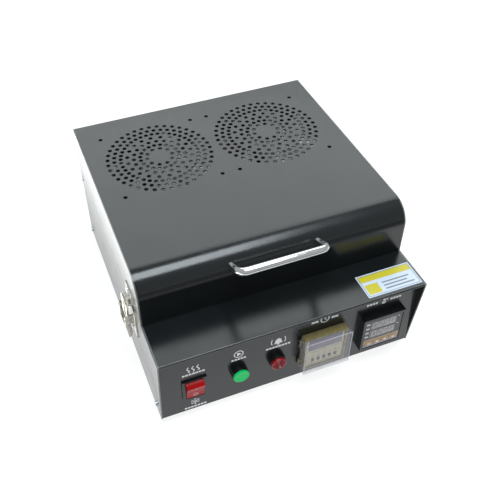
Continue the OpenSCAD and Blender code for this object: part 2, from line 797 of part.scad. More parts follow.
// One leaf of both hinges: up is 1 for the lid's leaves and -1 for the base's
module hinge_leaves(up, bore_r) {
  first = up > 0 ? 1 : 0;
  notch = barrel_r + 0.5;
  total = knuckles * knuckle_w;
  difference() {
    for (h = hinge_x) translate([h - total / 2, 0, hinge_z]) {
      difference() {
        block([0, 0, up > 0 ? notch : -leaf_h], [total, leaf_t, up > 0 ? leaf_h : -notch]);
        rod_y([total / 2 - 15, -1, up * hinge_screw_drop], screw_hole_r, 4);
        rod_y([total / 2 + 15, -1, up * hinge_screw_drop], screw_hole_r, 4);
      }
      for (k = [first:2:knuckles - 1]) {
        block([k * knuckle_w + 0.15, 0, up > 0 ? 0 : -notch - 0.1],
              [(k + 1) * knuckle_w - 0.15, leaf_t, up > 0 ? notch + 0.1 : 0]);
        rod_x([k * knuckle_w + 0.15, hinge_y, 0], barrel_r, knuckle_w - 0.3);
      }
    }
    for (h = hinge_x)
      rod_x([h - total / 2 - 1, hinge_y, hinge_z], bore_r, total + 2);
  }
}

module hinge_base_leaves() {
  color([0.72, 0.72, 0.7]) hinge_leaves(-1, hinge_pin_r);
}

module hinge_lid_leaves() {
  color([0.72, 0.72, 0.7]) hinge_leaves(1, hinge_pin_r + 0.05);
}

module hinge_pins() {
  total = knuckles * knuckle_w;
  color([0.6, 0.6, 0.6]) for (h = hinge_x)
    rod_x([h - total / 2, hinge_y, hinge_z], hinge_pin_r, total);
}

// ---------- lid ----------

// Number of holes in ring i, counted from the innermost
function ring_count(i) = i == 1 ? 10 : i <= 4 ? 20 : 40;

// Rings of round holes; every second ring is turned by half a step
module vent_holes() {
  for (i = [1:7], k = [1:ring_count(i)])
    rotate(90 + (k + (i % 2) / 2) * 360 / ring_count(i))
      translate([(i + 1) * ring_step, 0]) circle(d = vent_hole_d, $fn = 24);
  for (sx = [-1, 1], sy = [-1, 1])
    translate([sx * fan_bolt_pitch / 2, sy * fan_bolt_pitch / 2]) circle(d = 4.4, $fn = 24);
}

// Wrapped sheet: perforated top, rounded front and rear wall
module lid_skin() {
  color([0.09, 0.095, 0.1]) difference() {
    union() {
      translate([0, 0, top_z - sheet_t]) linear_extrude(sheet_t) difference() {
        translate([-inner_w, fold_y]) square([skin_w, lid_d - lid_r]);
        for (x = vent_x)
          translate([x, vent_y]) vent_holes();
      }
      along_x(-inner_w, skin_w) difference() {
        lid_outline(0);
        lid_outline(sheet_t);
        translate([fold_y, lid_z - 1]) square([lid_d, lid_h + 2]);
        translate([-lid_d + sheet_t, lid_z - 1]) square([lid_r - sheet_t, fold_z - lid_z + 1]);
      }
      block([-inner_w, -sheet_t, lid_z], [inner_w, 0, top_z - sheet_t / 2]);
    }
    handle_bolts(2.2);
    for (x = hinge_screw_x)
      rod_y([x, -3, hinge_z + hinge_screw_drop], screw_hole_r, 5);
  }
}

module lid_side(side) {
  color([0.09, 0.095, 0.1]) difference() {
    along_x(side > 0 ? half_w - sheet_t : -half_w, sheet_t) lid_outline(0);
    if (side < 0)
      for (z = strike_screw_z)
        rod_x([-half_w - 1, latch_y, z], screw_hole_r, 4);
  }
}

// Inner hood over the chamber: a deck with a port below each fan, walls and a bottom flange
module lid_baffle() {
  wall = 1;
  low = lid_z + 0.6;
  color([0.72, 0.73, 0.74]) difference() {
    union() {
      block([-baffle_x - wall, baffle_front - wall, low],
            [baffle_x + wall, baffle_back + wall, baffle_z + wall]);
      block([-inner_w + 0.2, -lid_d + sheet_t + 0.2, low], [inner_w - 0.2, -sheet_t - 0.2, low + wall]);
    }
    block([-baffle_x, baffle_front, low - 1], [baffle_x, baffle_back, baffle_z]);
    for (x = vent_x)
      translate([x, vent_y, baffle_z - 1]) cylinder(r = 56, h = 4);
  }
}

module lid_seal() {
  z = pan_z + pan_t + 0.4;
  color([0.8, 0.78, 0.72]) difference() {
    block([-baffle_x - 5, baffle_front - 4, z], [baffle_x + 5, baffle_back + 4, lid_z + 0.6]);
    block([-baffle_x + 2, baffle_front + 2, z - 1], [baffle_x - 2, baffle_back - 2, lid_z + 2]);
  }
}

// Puts children in the handle's frame: at the lid's fold, with +Z along the posts
module handle_frame() {
  translate([handle_x, fold_y, fold_z]) rotate([90 - handle_tilt, 0, 0]) children();
}

module handle_bolts(r) {
  handle_frame() for (s = [-1, 1])
    translate([s * handle_pitch / 2, 0, lid_r - 4]) cylinder(r = r, h = 8);
}

// D-shaped bar handle, its posts' feet cut to the lid's curve and drilled for screws
module lid_handle() {
  color([0.85, 0.86, 0.87]) difference() {
    handle_frame() {
      for (s = [-1, 1]) {
        translate([s * handle_pitch / 2, 0, lid_r - 2])
          cylinder(r = bar_r, h = handle_reach - bar_bend + 2);
        translate([s * (handle_pitch / 2 - bar_bend), 0, lid_r + handle_reach - bar_bend])
          rotate([90, 0, s > 0 ? 0 : 180])
            rotate_extrude(angle = 90) translate([bar_bend, 0]) circle(bar_r);
      }
      rod_x([bar_bend - handle_pitch / 2, 0, lid_r + handle_reach], bar_r, handle_pitch - 2 * bar_bend);
    }
    rod_x([-100, fold_y, fold_z], lid_r + 0.05, 200);
    handle_frame() for (s = [-1, 1])
      translate([s * handle_pitch / 2, 0, lid_r - 1]) cylinder(r = 2.05, h = 11);
  }
}

// Screws of the lid: handle, fans, hinges and strike
module lid_screws() {
  color([0.7, 0.71, 0.72]) {
    handle_frame() for (s = [-1, 1])
      translate([s * handle_pitch / 2, 0, lid_r - sheet_t - 0.2]) rotate([180, 0, 0])
        screw(9, 2, 3.6, 2.4);
    for (x = vent_x, sx = [-1, 1], sy = [-1, 1])
      translate([x + sx * fan_bolt_pitch / 2, vent_y + sy * fan_bolt_pitch / 2, fan_z])
        rotate([180, 0, 0]) screw(fan_h, 2, 3.6, 2.4);
    for (x = hinge_screw_x)
      translate([x, leaf_t, hinge_z + hinge_screw_drop]) rotate([-90, 0, 0]) screw(5);
    for (z = strike_screw_z)
      translate([-half_w - 1.2, latch_y, z]) rotate([0, -90, 0]) screw(5);
  }
}

// ---------- fans ----------

module fan_frame(x) {
  relief = fan_h - 8;
  color([0.08, 0.08, 0.08]) translate([x, vent_y, fan_z]) {
    difference() {
      linear_extrude(fan_h) difference() {
        rounded([fan_size, fan_size], 5);
        circle(fan_duct_r);
        for (sx = [-1, 1], sy = [-1, 1])
          translate([sx * fan_bolt_pitch / 2, sy * fan_bolt_pitch / 2]) circle(2.2);
      }
      // Open corners between the two mounting flanges
      translate([0, 0, 4]) linear_extrude(relief) difference() {
        square(fan_size + 2, center = true);
        square([fan_size + 4, fan_size - 26], center = true);
        square([fan_size - 26, fan_size + 4], center = true);
        circle(fan_duct_r + 2);
      }
    }
    // Motor seat, its four struts and the bearing tube that the rotor turns on
    cylinder(r = 21, h = 4);
    for (a = [20:90:290])
      rotate(a) translate([19, -2, 0]) cube([fan_duct_r - 18, 4, 4]);
    cylinder(r = rotor_shaft_r, h = rotor_z - fan_z + rotor_h - 5);
  }
}

// Impeller: a hub cup on the bearing tube and seven pitched blades
module fan_rotor(x) {
  blades = 7;
  hub_r = 20.5;
  pitch = 38;
  color([0.12, 0.12, 0.12]) translate([x, vent_y, rotor_z]) difference() {
    union() {
      cylinder(r = hub_r, h = rotor_h);
      intersection() {
        cylinder(r = rotor_r, h = rotor_h - 1);
        for (i = [1:blades])
          rotate(i * 360 / blades) translate([hub_r - 2, 0, rotor_h / 2]) rotate([pitch, 0, 0])
            translate([0, -16, -0.8]) cube([rotor_r, 32, 1.6]);
      }
    }
    translate([0, 0, -1]) cylinder(r = hub_r - 2, h = 4);
    translate([0, 0, -1]) cylinder(r = rotor_shaft_r + 0.05, h = rotor_h - 3.5);
  }
}

// ---------- assembly ----------

translate(-origin) {
  base_tray();
  side_panel(-1);  // side_panel_left
  side_panel(1);  // side_panel_right
  shelf_cover();
  control_panel();
  rear_panel();
  chamber_pan();
  insulation_board();
  heating_plate();
  heating_elements();
  plate_standoffs();
  thermocouple();
  solid_state_relay();
  terminal_block();
  power_inlet();
  rubber_feet();
  case_screws();
  safety_label();
  rocker_frame();
  rocker_key();
  start_button_body();
  start_button_cap();
  buzzer_body();
  buzzer_lens();
  collar_nuts();
  timer_case();
  timer_bezel();
  timer_face();
  timer_cover();
  timer_tab(1);  // timer_tab_1
  timer_tab(2);  // timer_tab_2
  timer_tab(3);  // timer_tab_3
  timer_tab(4);  // timer_tab_4
  timer_tab(5);  // timer_tab_5
  controller_case();
  controller_face();
  controller_key(1);  // controller_key_1
  controller_key(2);  // controller_key_2
  controller_key(3);  // controller_key_3
  controller_key(4);  // controller_key_4
  instrument_clamps();
  latch_base();
  latch_lever();
  latch_loop();
  latch_strike();
  hinge_base_leaves();
  hinge_lid_leaves();
  hinge_pins();
  lid_skin();
  lid_side(-1);  // lid_side_left
  lid_side(1);  // lid_side_right
  lid_baffle();
  lid_seal();
  lid_handle();
  lid_screws();
  fan_frame(vent_x[0]);  // fan_frame_left
  fan_frame(vent_x[1]);  // fan_frame_right
  fan_rotor(vent_x[0]);  // fan_rotor_left
  fan_rotor(vent_x[1]);  // fan_rotor_right
}
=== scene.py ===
"""Looks of the bench reflow oven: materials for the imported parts, finer pieces, light and camera.

Case coordinates in millimetres are used for most pieces: X from the case's middle, Y from its
rear face (the case lies at negative Y) and Z from the floor. at() turns them into the row frame.
"""
import json
import math

import bmesh
import bpy
from mathutils import Matrix, Vector


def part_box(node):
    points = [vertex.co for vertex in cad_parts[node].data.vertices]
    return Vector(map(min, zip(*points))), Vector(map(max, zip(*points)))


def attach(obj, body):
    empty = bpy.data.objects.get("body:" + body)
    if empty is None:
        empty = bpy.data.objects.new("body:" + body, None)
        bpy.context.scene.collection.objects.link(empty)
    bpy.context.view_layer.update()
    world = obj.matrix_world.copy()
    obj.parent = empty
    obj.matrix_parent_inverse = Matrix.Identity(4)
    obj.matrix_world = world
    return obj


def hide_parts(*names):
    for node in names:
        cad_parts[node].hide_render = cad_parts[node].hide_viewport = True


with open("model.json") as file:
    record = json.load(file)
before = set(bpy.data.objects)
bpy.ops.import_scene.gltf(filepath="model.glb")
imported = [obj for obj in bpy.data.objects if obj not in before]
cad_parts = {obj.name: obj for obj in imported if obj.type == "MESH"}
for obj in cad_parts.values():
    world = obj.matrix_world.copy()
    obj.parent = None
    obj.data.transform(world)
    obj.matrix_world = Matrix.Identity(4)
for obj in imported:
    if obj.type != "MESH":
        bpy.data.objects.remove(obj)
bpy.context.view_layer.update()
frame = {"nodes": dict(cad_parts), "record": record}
nodes = frame["nodes"]
scene = bpy.context.scene

MM = 0.001
left_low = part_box("side_panel_left")[0]
right_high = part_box("side_panel_right")[1]
CASE = Vector(((left_low.x + right_high.x) / 2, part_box("rear_panel")[1].y, 0))
BASE_Z = left_low.z / MM


def at(x, y, z):
    """A point of the case, in millimetres, as a row frame point in metres."""
    return CASE + Vector((x, y, z)) * MM


def middle(node):
    """The middle of a CAD node's box, in case millimetres."""
    low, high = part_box(node)
    return ((low + high) / 2 - CASE) / MM


def front_y(node):
    """The Y of a CAD node's front, in case millimetres."""
    return (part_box(node)[0].y - CASE.y) / MM


def front_centre(node):
    """The middle of a CAD node's front, as a row frame point."""
    low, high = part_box(node)
    return Vector(((low.x + high.x) / 2, low.y, (low.z + high.z) / 2))


PANEL_Y = front_y("control_panel")

# ---------- materials ----------


class Graph:
    """One Principled material, built node by node."""

    def __init__(self, name, **values):
        self.material = bpy.data.materials.new(name)
        self.material.use_nodes = True
        self.tree = self.material.node_tree
        self.shader = self.tree.nodes["Principled BSDF"]
        self.point = self.add("ShaderNodeTexCoord").outputs["Object"]
        self.set(**values)

    def add(self, kind, inputs=None, **settings):
        """Adds a node with its settings, and its inputs as values or links."""
        node = self.tree.nodes.new(kind)
        for key, value in settings.items():
            setattr(node, key, value)
        for key, value in (inputs or {}).items():
            self.put(node.inputs[key], value)
        return node

    def put(self, socket, value):
        """Links an output to the socket, or gives the socket a plain value."""
        if isinstance(value, bpy.types.NodeSocket):
            self.tree.links.new(value, socket)
        else:
            socket.default_value = value

    def set(self, **values):
        """Sets the shader's sockets: base_color=..., roughness=... and so on."""
        for key, value in values.items():
            name = key.replace("_", " ").title().replace("Ior", "IOR")
            if isinstance(value, tuple) and len(value) == 3:
                value = (*value, 1)
            self.put(self.shader.inputs[name], value)

    def stretched(self, x, y, z):
        """Object coordinates scaled along each axis."""
        node = self.add("ShaderNodeMapping", {"Vector": self.point, "Scale": (x, y, z)})
        return node.outputs["Vector"]

    def noise(self, scale, detail=2.0, rough=0.5, vector=None, distortion=0.0):
        """Soft noise, of a scale in waves per metre."""
        return self.add("ShaderNodeTexNoise", {
            "Vector": vector or self.point, "Scale": scale, "Detail": detail,
            "Roughness": rough, "Distortion": distortion}).outputs["Fac"]

    def cells(self, scale, output="Distance"):
        """Voronoi cells: the distance to each cell's middle, or its own colour."""
        return self.add("ShaderNodeTexVoronoi", {"Vector": self.point, "Scale": scale}).outputs[output]

    def span(self, value, low, high, out_low, out_high):
        """Maps low..high to out_low..out_high and holds the value outside."""
        return self.add("ShaderNodeMapRange", {
            "Value": value, "From Min": low, "From Max": high,
            "To Min": out_low, "To Max": out_high}).outputs["Result"]

    def math(self, operation, a, b):
        """One sum or product of two values."""
        node = self.add("ShaderNodeMath", operation=operation)
        self.put(node.inputs[0], a)
        self.put(node.inputs[1], b)
        return node.outputs[0]

    def mix(self, factor, a, b):
        """A colour between a and b."""
        node = self.add("ShaderNodeMix", data_type="RGBA")
        self.put(node.inputs["Factor"], factor)
        self.put(node.inputs["A"], (*a, 1) if isinstance(a, tuple) else a)
        self.put(node.inputs["B"], (*b, 1) if isinstance(b, tuple) else b)
        return node.outputs["Result"]

    def rounded_edges(self, radius):
        """A normal that rounds the sheet's and the mouldings' sharp edges a little."""
        return self.add("ShaderNodeBevel", {"Radius": radius * MM}, samples=4).outputs["Normal"]

    def painted_edge_highlight(self, radius):
        """1 along sharp edges and tight folds, where a painted highlight goes, and 0 elsewhere."""
        true_normal = self.add("ShaderNodeNewGeometry").outputs["Normal"]
        turn = self.add("ShaderNodeVectorMath", operation="DOT_PRODUCT")
        self.put(turn.inputs[0], self.rounded_edges(radius))
        self.put(turn.inputs[1], true_normal)
        return self.span(turn.outputs["Value"], 0.99, 0.86, 0.0, 1.0)

    def bump(self, height, strength, depth, normal=None):
        """Raises the surface by a height map, whose full depth is in millimetres."""
        inputs = {"Height": height, "Strength": strength, "Distance": depth * MM}
        if normal:
            inputs["Normal"] = normal
        self.put(self.shader.inputs["Normal"], self.add("ShaderNodeBump", inputs).outputs["Normal"])


def powder_coat(name, with_edge_highlight=False):
    """Semi-gloss black powder coat with a fine orange peel, and a painted highlight along sharp edges where
    asked.
    """
    g = Graph(name, ior=1.5)
    cloud = g.noise(9, 3)
    speck = g.noise(2600, 1)
    colour = g.mix(g.math("MULTIPLY", cloud, speck), (0.0035, 0.0048, 0.0052), (0.0085, 0.0105, 0.011))
    if with_edge_highlight:
        # painted highlight: light grey laid along the sheet's sharp edges and folds
        colour = g.mix(g.painted_edge_highlight(1.2), colour, (0.26, 0.27, 0.28))
    g.set(base_color=colour)
    peel = g.math("ADD", g.noise(520, 2, 0.4), g.math("MULTIPLY", g.noise(1500, 1), 0.35))
    smudge = g.span(g.noise(26, 4, 0.6), 0.35, 0.7, 0.0, 0.05)
    g.set(roughness=g.math("ADD", smudge, g.span(g.noise(900, 2), 0.3, 0.7, 0.15, 0.22)))
    g.bump(peel, 0.36, 0.14, g.rounded_edges(0.35))
    return g.material


def plated(name, dark, light, scale, rough):
    """Zinc or nickel plate, its crystals only just showing."""
    g = Graph(name, metallic=1.0)
    spangle = g.cells(scale, "Color")
    tone = g.add("ShaderNodeSeparateColor", {"Color": spangle}).outputs["Red"]
    haze = g.noise(scale * 0.25, 4, 0.6)
    g.set(base_color=g.mix(g.math("MULTIPLY", g.math("ADD", tone, haze), 0.5), dark, light))
    g.set(roughness=g.span(g.math("ADD", tone, haze), 0.2, 1.6, rough - 0.07, rough + 0.1))
    g.bump(g.noise(scale * 6, 3), 0.12, 0.05, g.rounded_edges(0.25))
    return g.material


def brushed(name, dark, light, stretch, rough, stain=None, stain_scale=14):
    """Metal with fine grinding lines along one axis and, if asked, heat stains."""
    g = Graph(name, metallic=1.0)
    lines = g.noise(1, 3, 0.65, g.stretched(*stretch))
    colour = g.mix(lines, dark, light)
    if stain:
        where = g.span(g.noise(stain_scale, 4, 0.55, distortion=0.6), 0.45, 0.75, 0.0, 0.75)
        colour = g.mix(where, colour, stain)
    g.set(base_color=colour)
    g.set(roughness=g.span(lines, 0.3, 0.7, rough - 0.06, rough + 0.09))
    g.bump(lines, 0.2, 0.04, g.rounded_edges(0.3))
    return g.material


def chrome():
    """Bright chrome plate with a faint haze."""
    g = Graph("chrome_plate", metallic=1.0)
    haze = g.noise(60, 4, 0.6)
    g.set(base_color=g.mix(haze, (0.66, 0.66, 0.65), (0.76, 0.76, 0.75)))
    g.set(roughness=g.span(g.noise(420, 3, 0.6), 0.3, 0.7, 0.09, 0.14))
    g.bump(g.noise(260, 1), 0.025, 0.05)
    return g.material


def moulded(name, colour, shade, rough, grain=1400.0, depth=0.05):
    """Injection-moulded plastic: a fine spark-eroded grain and a slightly uneven gloss."""
    g = Graph(name, ior=1.49)
    cloud = g.noise(60, 3)
    g.set(base_color=g.mix(cloud, shade, colour))
    g.set(roughness=g.span(g.noise(180, 3), 0.3, 0.7, rough - 0.04, rough + 0.07))
    g.bump(g.noise(grain, 2, 0.6), 0.3, depth, g.rounded_edges(0.3))
    return g.material


def plastic_with_painted_glow(name, colour, shade, glow, rough, gloss):
    """Coloured translucent plastic with a painted glow: it gives off a little light of its own."""
    g = Graph(name, ior=1.49, specular_ior_level=gloss)
    depth = g.add("ShaderNodeLayerWeight", {"Blend": 0.35}).outputs["Facing"]
    cloud = g.noise(130, 3, 0.5)
    tone = g.mix(g.math("MULTIPLY", depth, cloud), colour, shade)
    # painted glow: the plastic gives off light in its own colour though it holds no lamp
    g.set(base_color=tone, emission_color=tone, emission_strength=glow)
    g.set(roughness=g.span(g.noise(300, 2), 0.3, 0.7, rough - 0.05, rough + 0.06))
    g.bump(g.noise(900, 1), 0.1, 0.04, g.rounded_edges(0.35))
    return g.material


def clear_plastic(name, tint, face_alpha, edge_alpha):
    """Thin clear moulding, seen through face on and milky towards its edges."""
    g = Graph(name, ior=1.49)
    facing = g.add("ShaderNodeLayerWeight", {"Blend": 0.3}).outputs["Facing"]
    scuff = g.span(g.noise(90, 4, 0.6), 0.5, 0.75, 0.0, 0.03)
    g.set(base_color=g.mix(g.noise(40, 2), tint, tuple(0.9 * c for c in tint)))
    g.set(alpha=g.math("ADD", scuff, g.span(facing, 0.05, 0.9, face_alpha, edge_alpha)))
    g.set(roughness=g.span(g.noise(400, 2), 0.3, 0.7, 0.03, 0.11))
    g.bump(g.noise(500, 2), 0.05, 0.03, g.rounded_edges(0.25))
    return g.material


def printed(name, colour, shade, rough=0.42, glow=0.0):
    """Screen-printed ink or film: thin, even, with a faint mottle."""
    g = Graph(name, ior=1.45)
    mottle = g.noise(900, 3, 0.7)
    pale = g.mix(g.span(mottle, 0.35, 0.65, 0.0, 1.0), shade, colour)
    g.set(base_color=pale)
    if glow:
        g.set(emission_color=pale, emission_strength=glow)
    g.set(roughness=g.span(g.noise(120, 2), 0.3, 0.7, rough - 0.06, rough + 0.08))
    g.bump(mottle, 0.12, 0.02)
    return g.material


def fibre_board():
    """Pale ceramic fibre, pressed into a soft board."""
    g = Graph("ceramic_fibre", ior=1.4)
    strands = g.noise(1, 4, 0.7, g.stretched(260, 900, 900), 0.8)
    spots = g.span(g.cells(420), 0.0, 0.35, 0.0, 1.0)
    g.set(base_color=g.mix(g.math("MULTIPLY", strands, spots), (0.62, 0.58, 0.5), (0.88, 0.86, 0.8)))
    g.set(roughness=g.span(strands, 0.2, 0.8, 0.82, 0.98))
    g.bump(strands, 0.7, 0.4)
    return g.material


def woven_seal():
    """Braided glass fibre, browned here and there by heat."""
    g = Graph("woven_glass_seal", ior=1.5)
    braid = g.add("ShaderNodeTexWave", {
        "Vector": g.point, "Scale": 190.0, "Distortion": 2.0, "Detail": 2.0,
        "Detail Scale": 3.0}, bands_direction="DIAGONAL").outputs["Fac"]
    soot = g.span(g.noise(18, 3), 0.4, 0.7, 0.0, 0.5)
    g.set(base_color=g.mix(soot, g.mix(braid, (0.42, 0.4, 0.34), (0.76, 0.74, 0.66)), (0.36, 0.3, 0.22)))
    g.set(roughness=g.span(braid, 0, 1, 0.6, 0.85))
    g.bump(braid, 0.6, 0.25)
    return g.material


def rubber():
    """Black rubber with a little dust on it."""
    g = Graph("foot_rubber", ior=1.5)
    dust = g.span(g.noise(240, 5, 0.7), 0.5, 0.8, 0.0, 0.5)
    g.set(base_color=g.mix(dust, (0.012, 0.012, 0.013), (0.05, 0.048, 0.045)))
    g.set(roughness=g.span(g.noise(500, 3), 0.3, 0.7, 0.62, 0.85))
    g.bump(g.noise(1500, 3), 0.35, 0.08, g.rounded_edges(0.5))
    return g.material


def lid_screws_with_painted_shade():
    """Zinc-plated screws whose shank ends, close under the lid's skin, are painted near black as shade."""
    g = Graph("lid_screw_zinc", metallic=1.0)
    height = g.add("ShaderNodeSeparateXYZ", {"Vector": g.point}).outputs["Z"]
    under_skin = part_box("lid_screws")[1].z
    black = g.span(height, under_skin - 4 * MM, under_skin - 3 * MM, 0.0, 1.0)
    grain = g.noise(900, 3)
    zinc = g.mix(grain, (0.5, 0.51, 0.53), (0.78, 0.79, 0.8))
    # painted shade: near black over the shank ends just under the lid's skin
    g.set(base_color=g.mix(black, zinc, (0.004, 0.004, 0.005)))
    g.set(roughness=g.span(grain, 0.3, 0.7, 0.24, 0.4))
    g.bump(g.noise(2400, 2), 0.12, 0.05, g.rounded_edges(0.25))
    return g.material


MATERIALS = {
    "coat": powder_coat("powder_coat"),
    # the powder coat with a painted highlight along its edges
    "edge_highlight_coat": powder_coat("powder_coat_edge_highlight", with_edge_highlight=True),
    "zinc_sheet": plated("zinc_plate", (0.42, 0.43, 0.45), (0.68, 0.69, 0.71), 70, 0.42),
    "chamber_sheet": brushed("chamber_steel", (0.5, 0.5, 0.49), (0.74, 0.73, 0.71), (40, 2600, 2600), 0.3,
                             stain=(0.4, 0.31, 0.19)),
    "ceramic": fibre_board(),
    "hot_plate": brushed("ground_plate", (0.56, 0.56, 0.56), (0.8, 0.8, 0.79), (2200, 30, 2200), 0.28,
                         stain=(0.5, 0.42, 0.3), stain_scale=9),
    "heater": brushed("heater_sheath", (0.16, 0.14, 0.13), (0.36, 0.31, 0.27), (300, 300, 300), 0.42,
                      stain=(0.1, 0.12, 0.2), stain_scale=40),
    "steel": plated("zinc_screws", (0.5, 0.51, 0.53), (0.78, 0.79, 0.8), 900, 0.3),
    "chrome": chrome(),
    "nickel": plated("nickel_plate", (0.3, 0.285, 0.25), (0.62, 0.6, 0.54), 500, 0.15),
    "rubber": rubber(),
    "label": printed("label_film", (0.5, 0.56, 0.66), (0.45, 0.51, 0.61), 0.3),
    "black_plastic": moulded("black_moulding", (0.009, 0.009, 0.01), (0.004, 0.004, 0.005), 0.24),
    "matte_black": moulded("fan_moulding", (0.02, 0.02, 0.021), (0.009, 0.009, 0.01), 0.45, 900, 0.12),
    "relay_white": moulded("relay_moulding", (0.78, 0.78, 0.75), (0.68, 0.68, 0.65), 0.4),
    "olive_plastic": moulded("olive_moulding", (0.25, 0.205, 0.085), (0.17, 0.14, 0.06), 0.26, 1100, 0.04),
    "timer_plate": printed("timer_card", (0.66, 0.58, 0.4), (0.6, 0.53, 0.36), 0.4),
    "tab": moulded("tab_moulding", (0.07, 0.06, 0.05), (0.04, 0.035, 0.03), 0.35),
    # these three plastics carry a painted glow
    "red": plastic_with_painted_glow("rocker_red", (0.34, 0.002, 0.002), (0.13, 0.0, 0.0), 0.05, 0.3, 0.12),
    "green": plastic_with_painted_glow("button_green", (0.0, 0.44, 0.1), (0.0, 0.24, 0.06), 0.18, 0.25, 0.2),
    "lens_red": plastic_with_painted_glow("lens_red", (0.24, 0.004, 0.008), (0.09, 0.0, 0.003), 0.03, 0.1, 0.6),
    "clear": clear_plastic("clear_cover", (0.34, 0.34, 0.37), 0.07, 0.55),
    "grey_face": printed("face_film", (0.055, 0.057, 0.062), (0.045, 0.047, 0.05), 0.34),
    "key": printed("key_rubber", (0.4, 0.27, 0.17), (0.34, 0.23, 0.14), 0.5),
    "seal": woven_seal(),
    "lid_screws": lid_screws_with_painted_shade(),
}
INK = printed("white_ink", (0.74, 0.75, 0.75), (0.6, 0.61, 0.61))
DARK_INK = printed("dark_ink", (0.035, 0.035, 0.04), (0.02, 0.02, 0.022))
YELLOW_INK = printed("yellow_ink", (0.52, 0.45, 0.02), (0.42, 0.36, 0.015), 0.32)
GREY_INK = printed("grey_ink", (0.2, 0.22, 0.24), (0.14, 0.15, 0.17))
RED_SEGMENT = printed("red_segments", (0.34, 0.1, 0.1), (0.26, 0.07, 0.07), 0.3, 0.05)
PALE_SEGMENT = printed("pale_segments", (0.42, 0.4, 0.4), (0.34, 0.32, 0.32), 0.3, 0.04)
PALE_STRIP = printed("pale_strip", (0.3, 0.28, 0.4), (0.24, 0.22, 0.32))
TAN_STRIP = printed("tan_strip", (0.36, 0.26, 0.18), (0.3, 0.21, 0.14), 0.35)

NODE_MATERIAL = {"lid_screws": "lid_screws"}
# these sheets get the painted highlight along their edges and folds
for name in ("side_panel_left", "side_panel_right", "lid_side_left", "lid_side_right", "shelf_cover"):
    NODE_MATERIAL[name] = "edge_highlight_coat"
for name in ("latch_base", "latch_lever", "latch_strike", "latch_loop",
             "hinge_base_leaves", "hinge_lid_leaves", "hinge_pins"):
    NODE_MATERIAL[name] = "nickel"


def dress(obj, material):
    """Gives an object one material, in place of whatever it has."""
    obj.data.materials.clear()
    obj.data.materials.append(material)


slot_of = {}
for part in frame["record"]["subparts"]:
    slot_of[part["node"]] = part.get("material_slot") or part.get("slot")
for name, obj in nodes.items():
    slot = NODE_MATERIAL.get(name) or slot_of.get(name) or "coat"
    dress(obj, MATERIALS[slot])

# ---------- mesh helpers ----------


def finish_mesh(name, bm, material, body, replaces=(), sharp=32):
    """Turns a bmesh into a piece: shaded smooth except at sharp edges, riding on a CAD body."""
    bmesh.ops.remove_doubles(bm, verts=bm.verts, dist=1e-7)
    bmesh.ops.recalc_face_normals(bm, faces=bm.faces)
    limit = math.radians(sharp)
    for face in bm.faces:
        face.smooth = True
    for edge in bm.edges:
        edge.smooth = edge.is_manifold and edge.calc_face_angle(0) < limit
    mesh = bpy.data.meshes.new(name)
    bm.to_mesh(mesh)
    bm.free()
    obj = bpy.data.objects.new(name, mesh)
    scene.collection.objects.link(obj)
    dress(obj, material)
    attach(obj, body)
    if replaces:
        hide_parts(*replaces)


def lathe(bm, profile, centre, direction, steps, wobble=None):
    """Turns a closed profile of (radius, height) about an axis. wobble(i, angle) may shift a height."""
    axis = Vector(direction).normalized()
    side = axis.orthogonal().normalized()
    other = axis.cross(side)
    rings = []
    for i, (r, h) in enumerate(profile):
        if r < 1e-6:
            rings.append([bm.verts.new(centre + axis * h * MM)])
            continue
        ring = []
        for k in range(steps):
            angle = 2 * math.pi * k / steps
            lift = wobble(i, angle) if wobble else 0
            spoke = side * math.cos(angle) + other * math.sin(angle)
            ring.append(bm.verts.new(centre + (axis * (h + lift) + spoke * r) * MM))
        rings.append(ring)
    for a, b in zip(rings, rings[1:]):
        for k in range(steps):
            n = (k + 1) % steps
            if len(a) == 1 and len(b) == 1:
                continue
            if len(a) == 1:
                bm.faces.new((a[0], b[k], b[n]))
            elif len(b) == 1:
                bm.faces.new((a[k], b[0], a[n]))
            else:
                bm.faces.new((a[k], b[k], b[n], a[n]))


def prism(bm, outline, place, depth):
    """Extrudes an outline of (u, v) points. place(u, v, w) gives a row frame point, w from 0 to depth."""
    front = [bm.verts.new(place(u, v, depth)) for u, v in outline]
    back = [bm.verts.new(place(u, v, 0)) for u, v in outline]
    bm.faces.new(front)
    bm.faces.new(back[::-1])
    for i in range(len(outline)):
        n = (i + 1) % len(outline)
        bm.faces.new((front[i], back[i], back[n], front[n]))


def bar(bm, u0, v0, u1, v1, place, depth):
    """A thin rectangle between two corners."""
    prism(bm, [(u0, v0), (u1, v0), (u1, v1), (u0, v1)], place, depth)


def stroke(bm, points, width, place, depth):
    """A line of constant width along (u, v) points."""
    left, right = [], []
    for i, (u, v) in enumerate(points):
        a = points[max(i - 1, 0)]
        b = points[min(i + 1, len(points) - 1)]
        d = Vector((b[0] - a[0], b[1] - a[1])).normalized()
        left.append((u - d.y * width / 2, v + d.x * width / 2))
        right.append((u + d.y * width / 2, v - d.x * width / 2))
    for i in range(len(points) - 1):
        prism(bm, [left[i], left[i + 1], right[i + 1], right[i]], place, depth)


def arc(u, v, radius, steps, start=0.0, sweep=360.0):
    """Points along an arc, its ends included. Angles are in degrees."""
    points = []
    for k in range(steps + 1):
        angle = math.radians(start + sweep * k / steps)
        points.append((u + radius * math.cos(angle), v + radius * math.sin(angle)))
    return points


def ring(bm, u, v, radius, width, place, depth, steps=32, start=0.0, sweep=360.0):
    """A line of constant width along a circle or an arc."""
    stroke(bm, arc(u, v, radius, steps, start, sweep), width, place, depth)


def disc(bm, u, v, radius, place, depth):
    """A thin round spot."""
    prism(bm, arc(u, v, radius, 20)[:-1], place, depth)


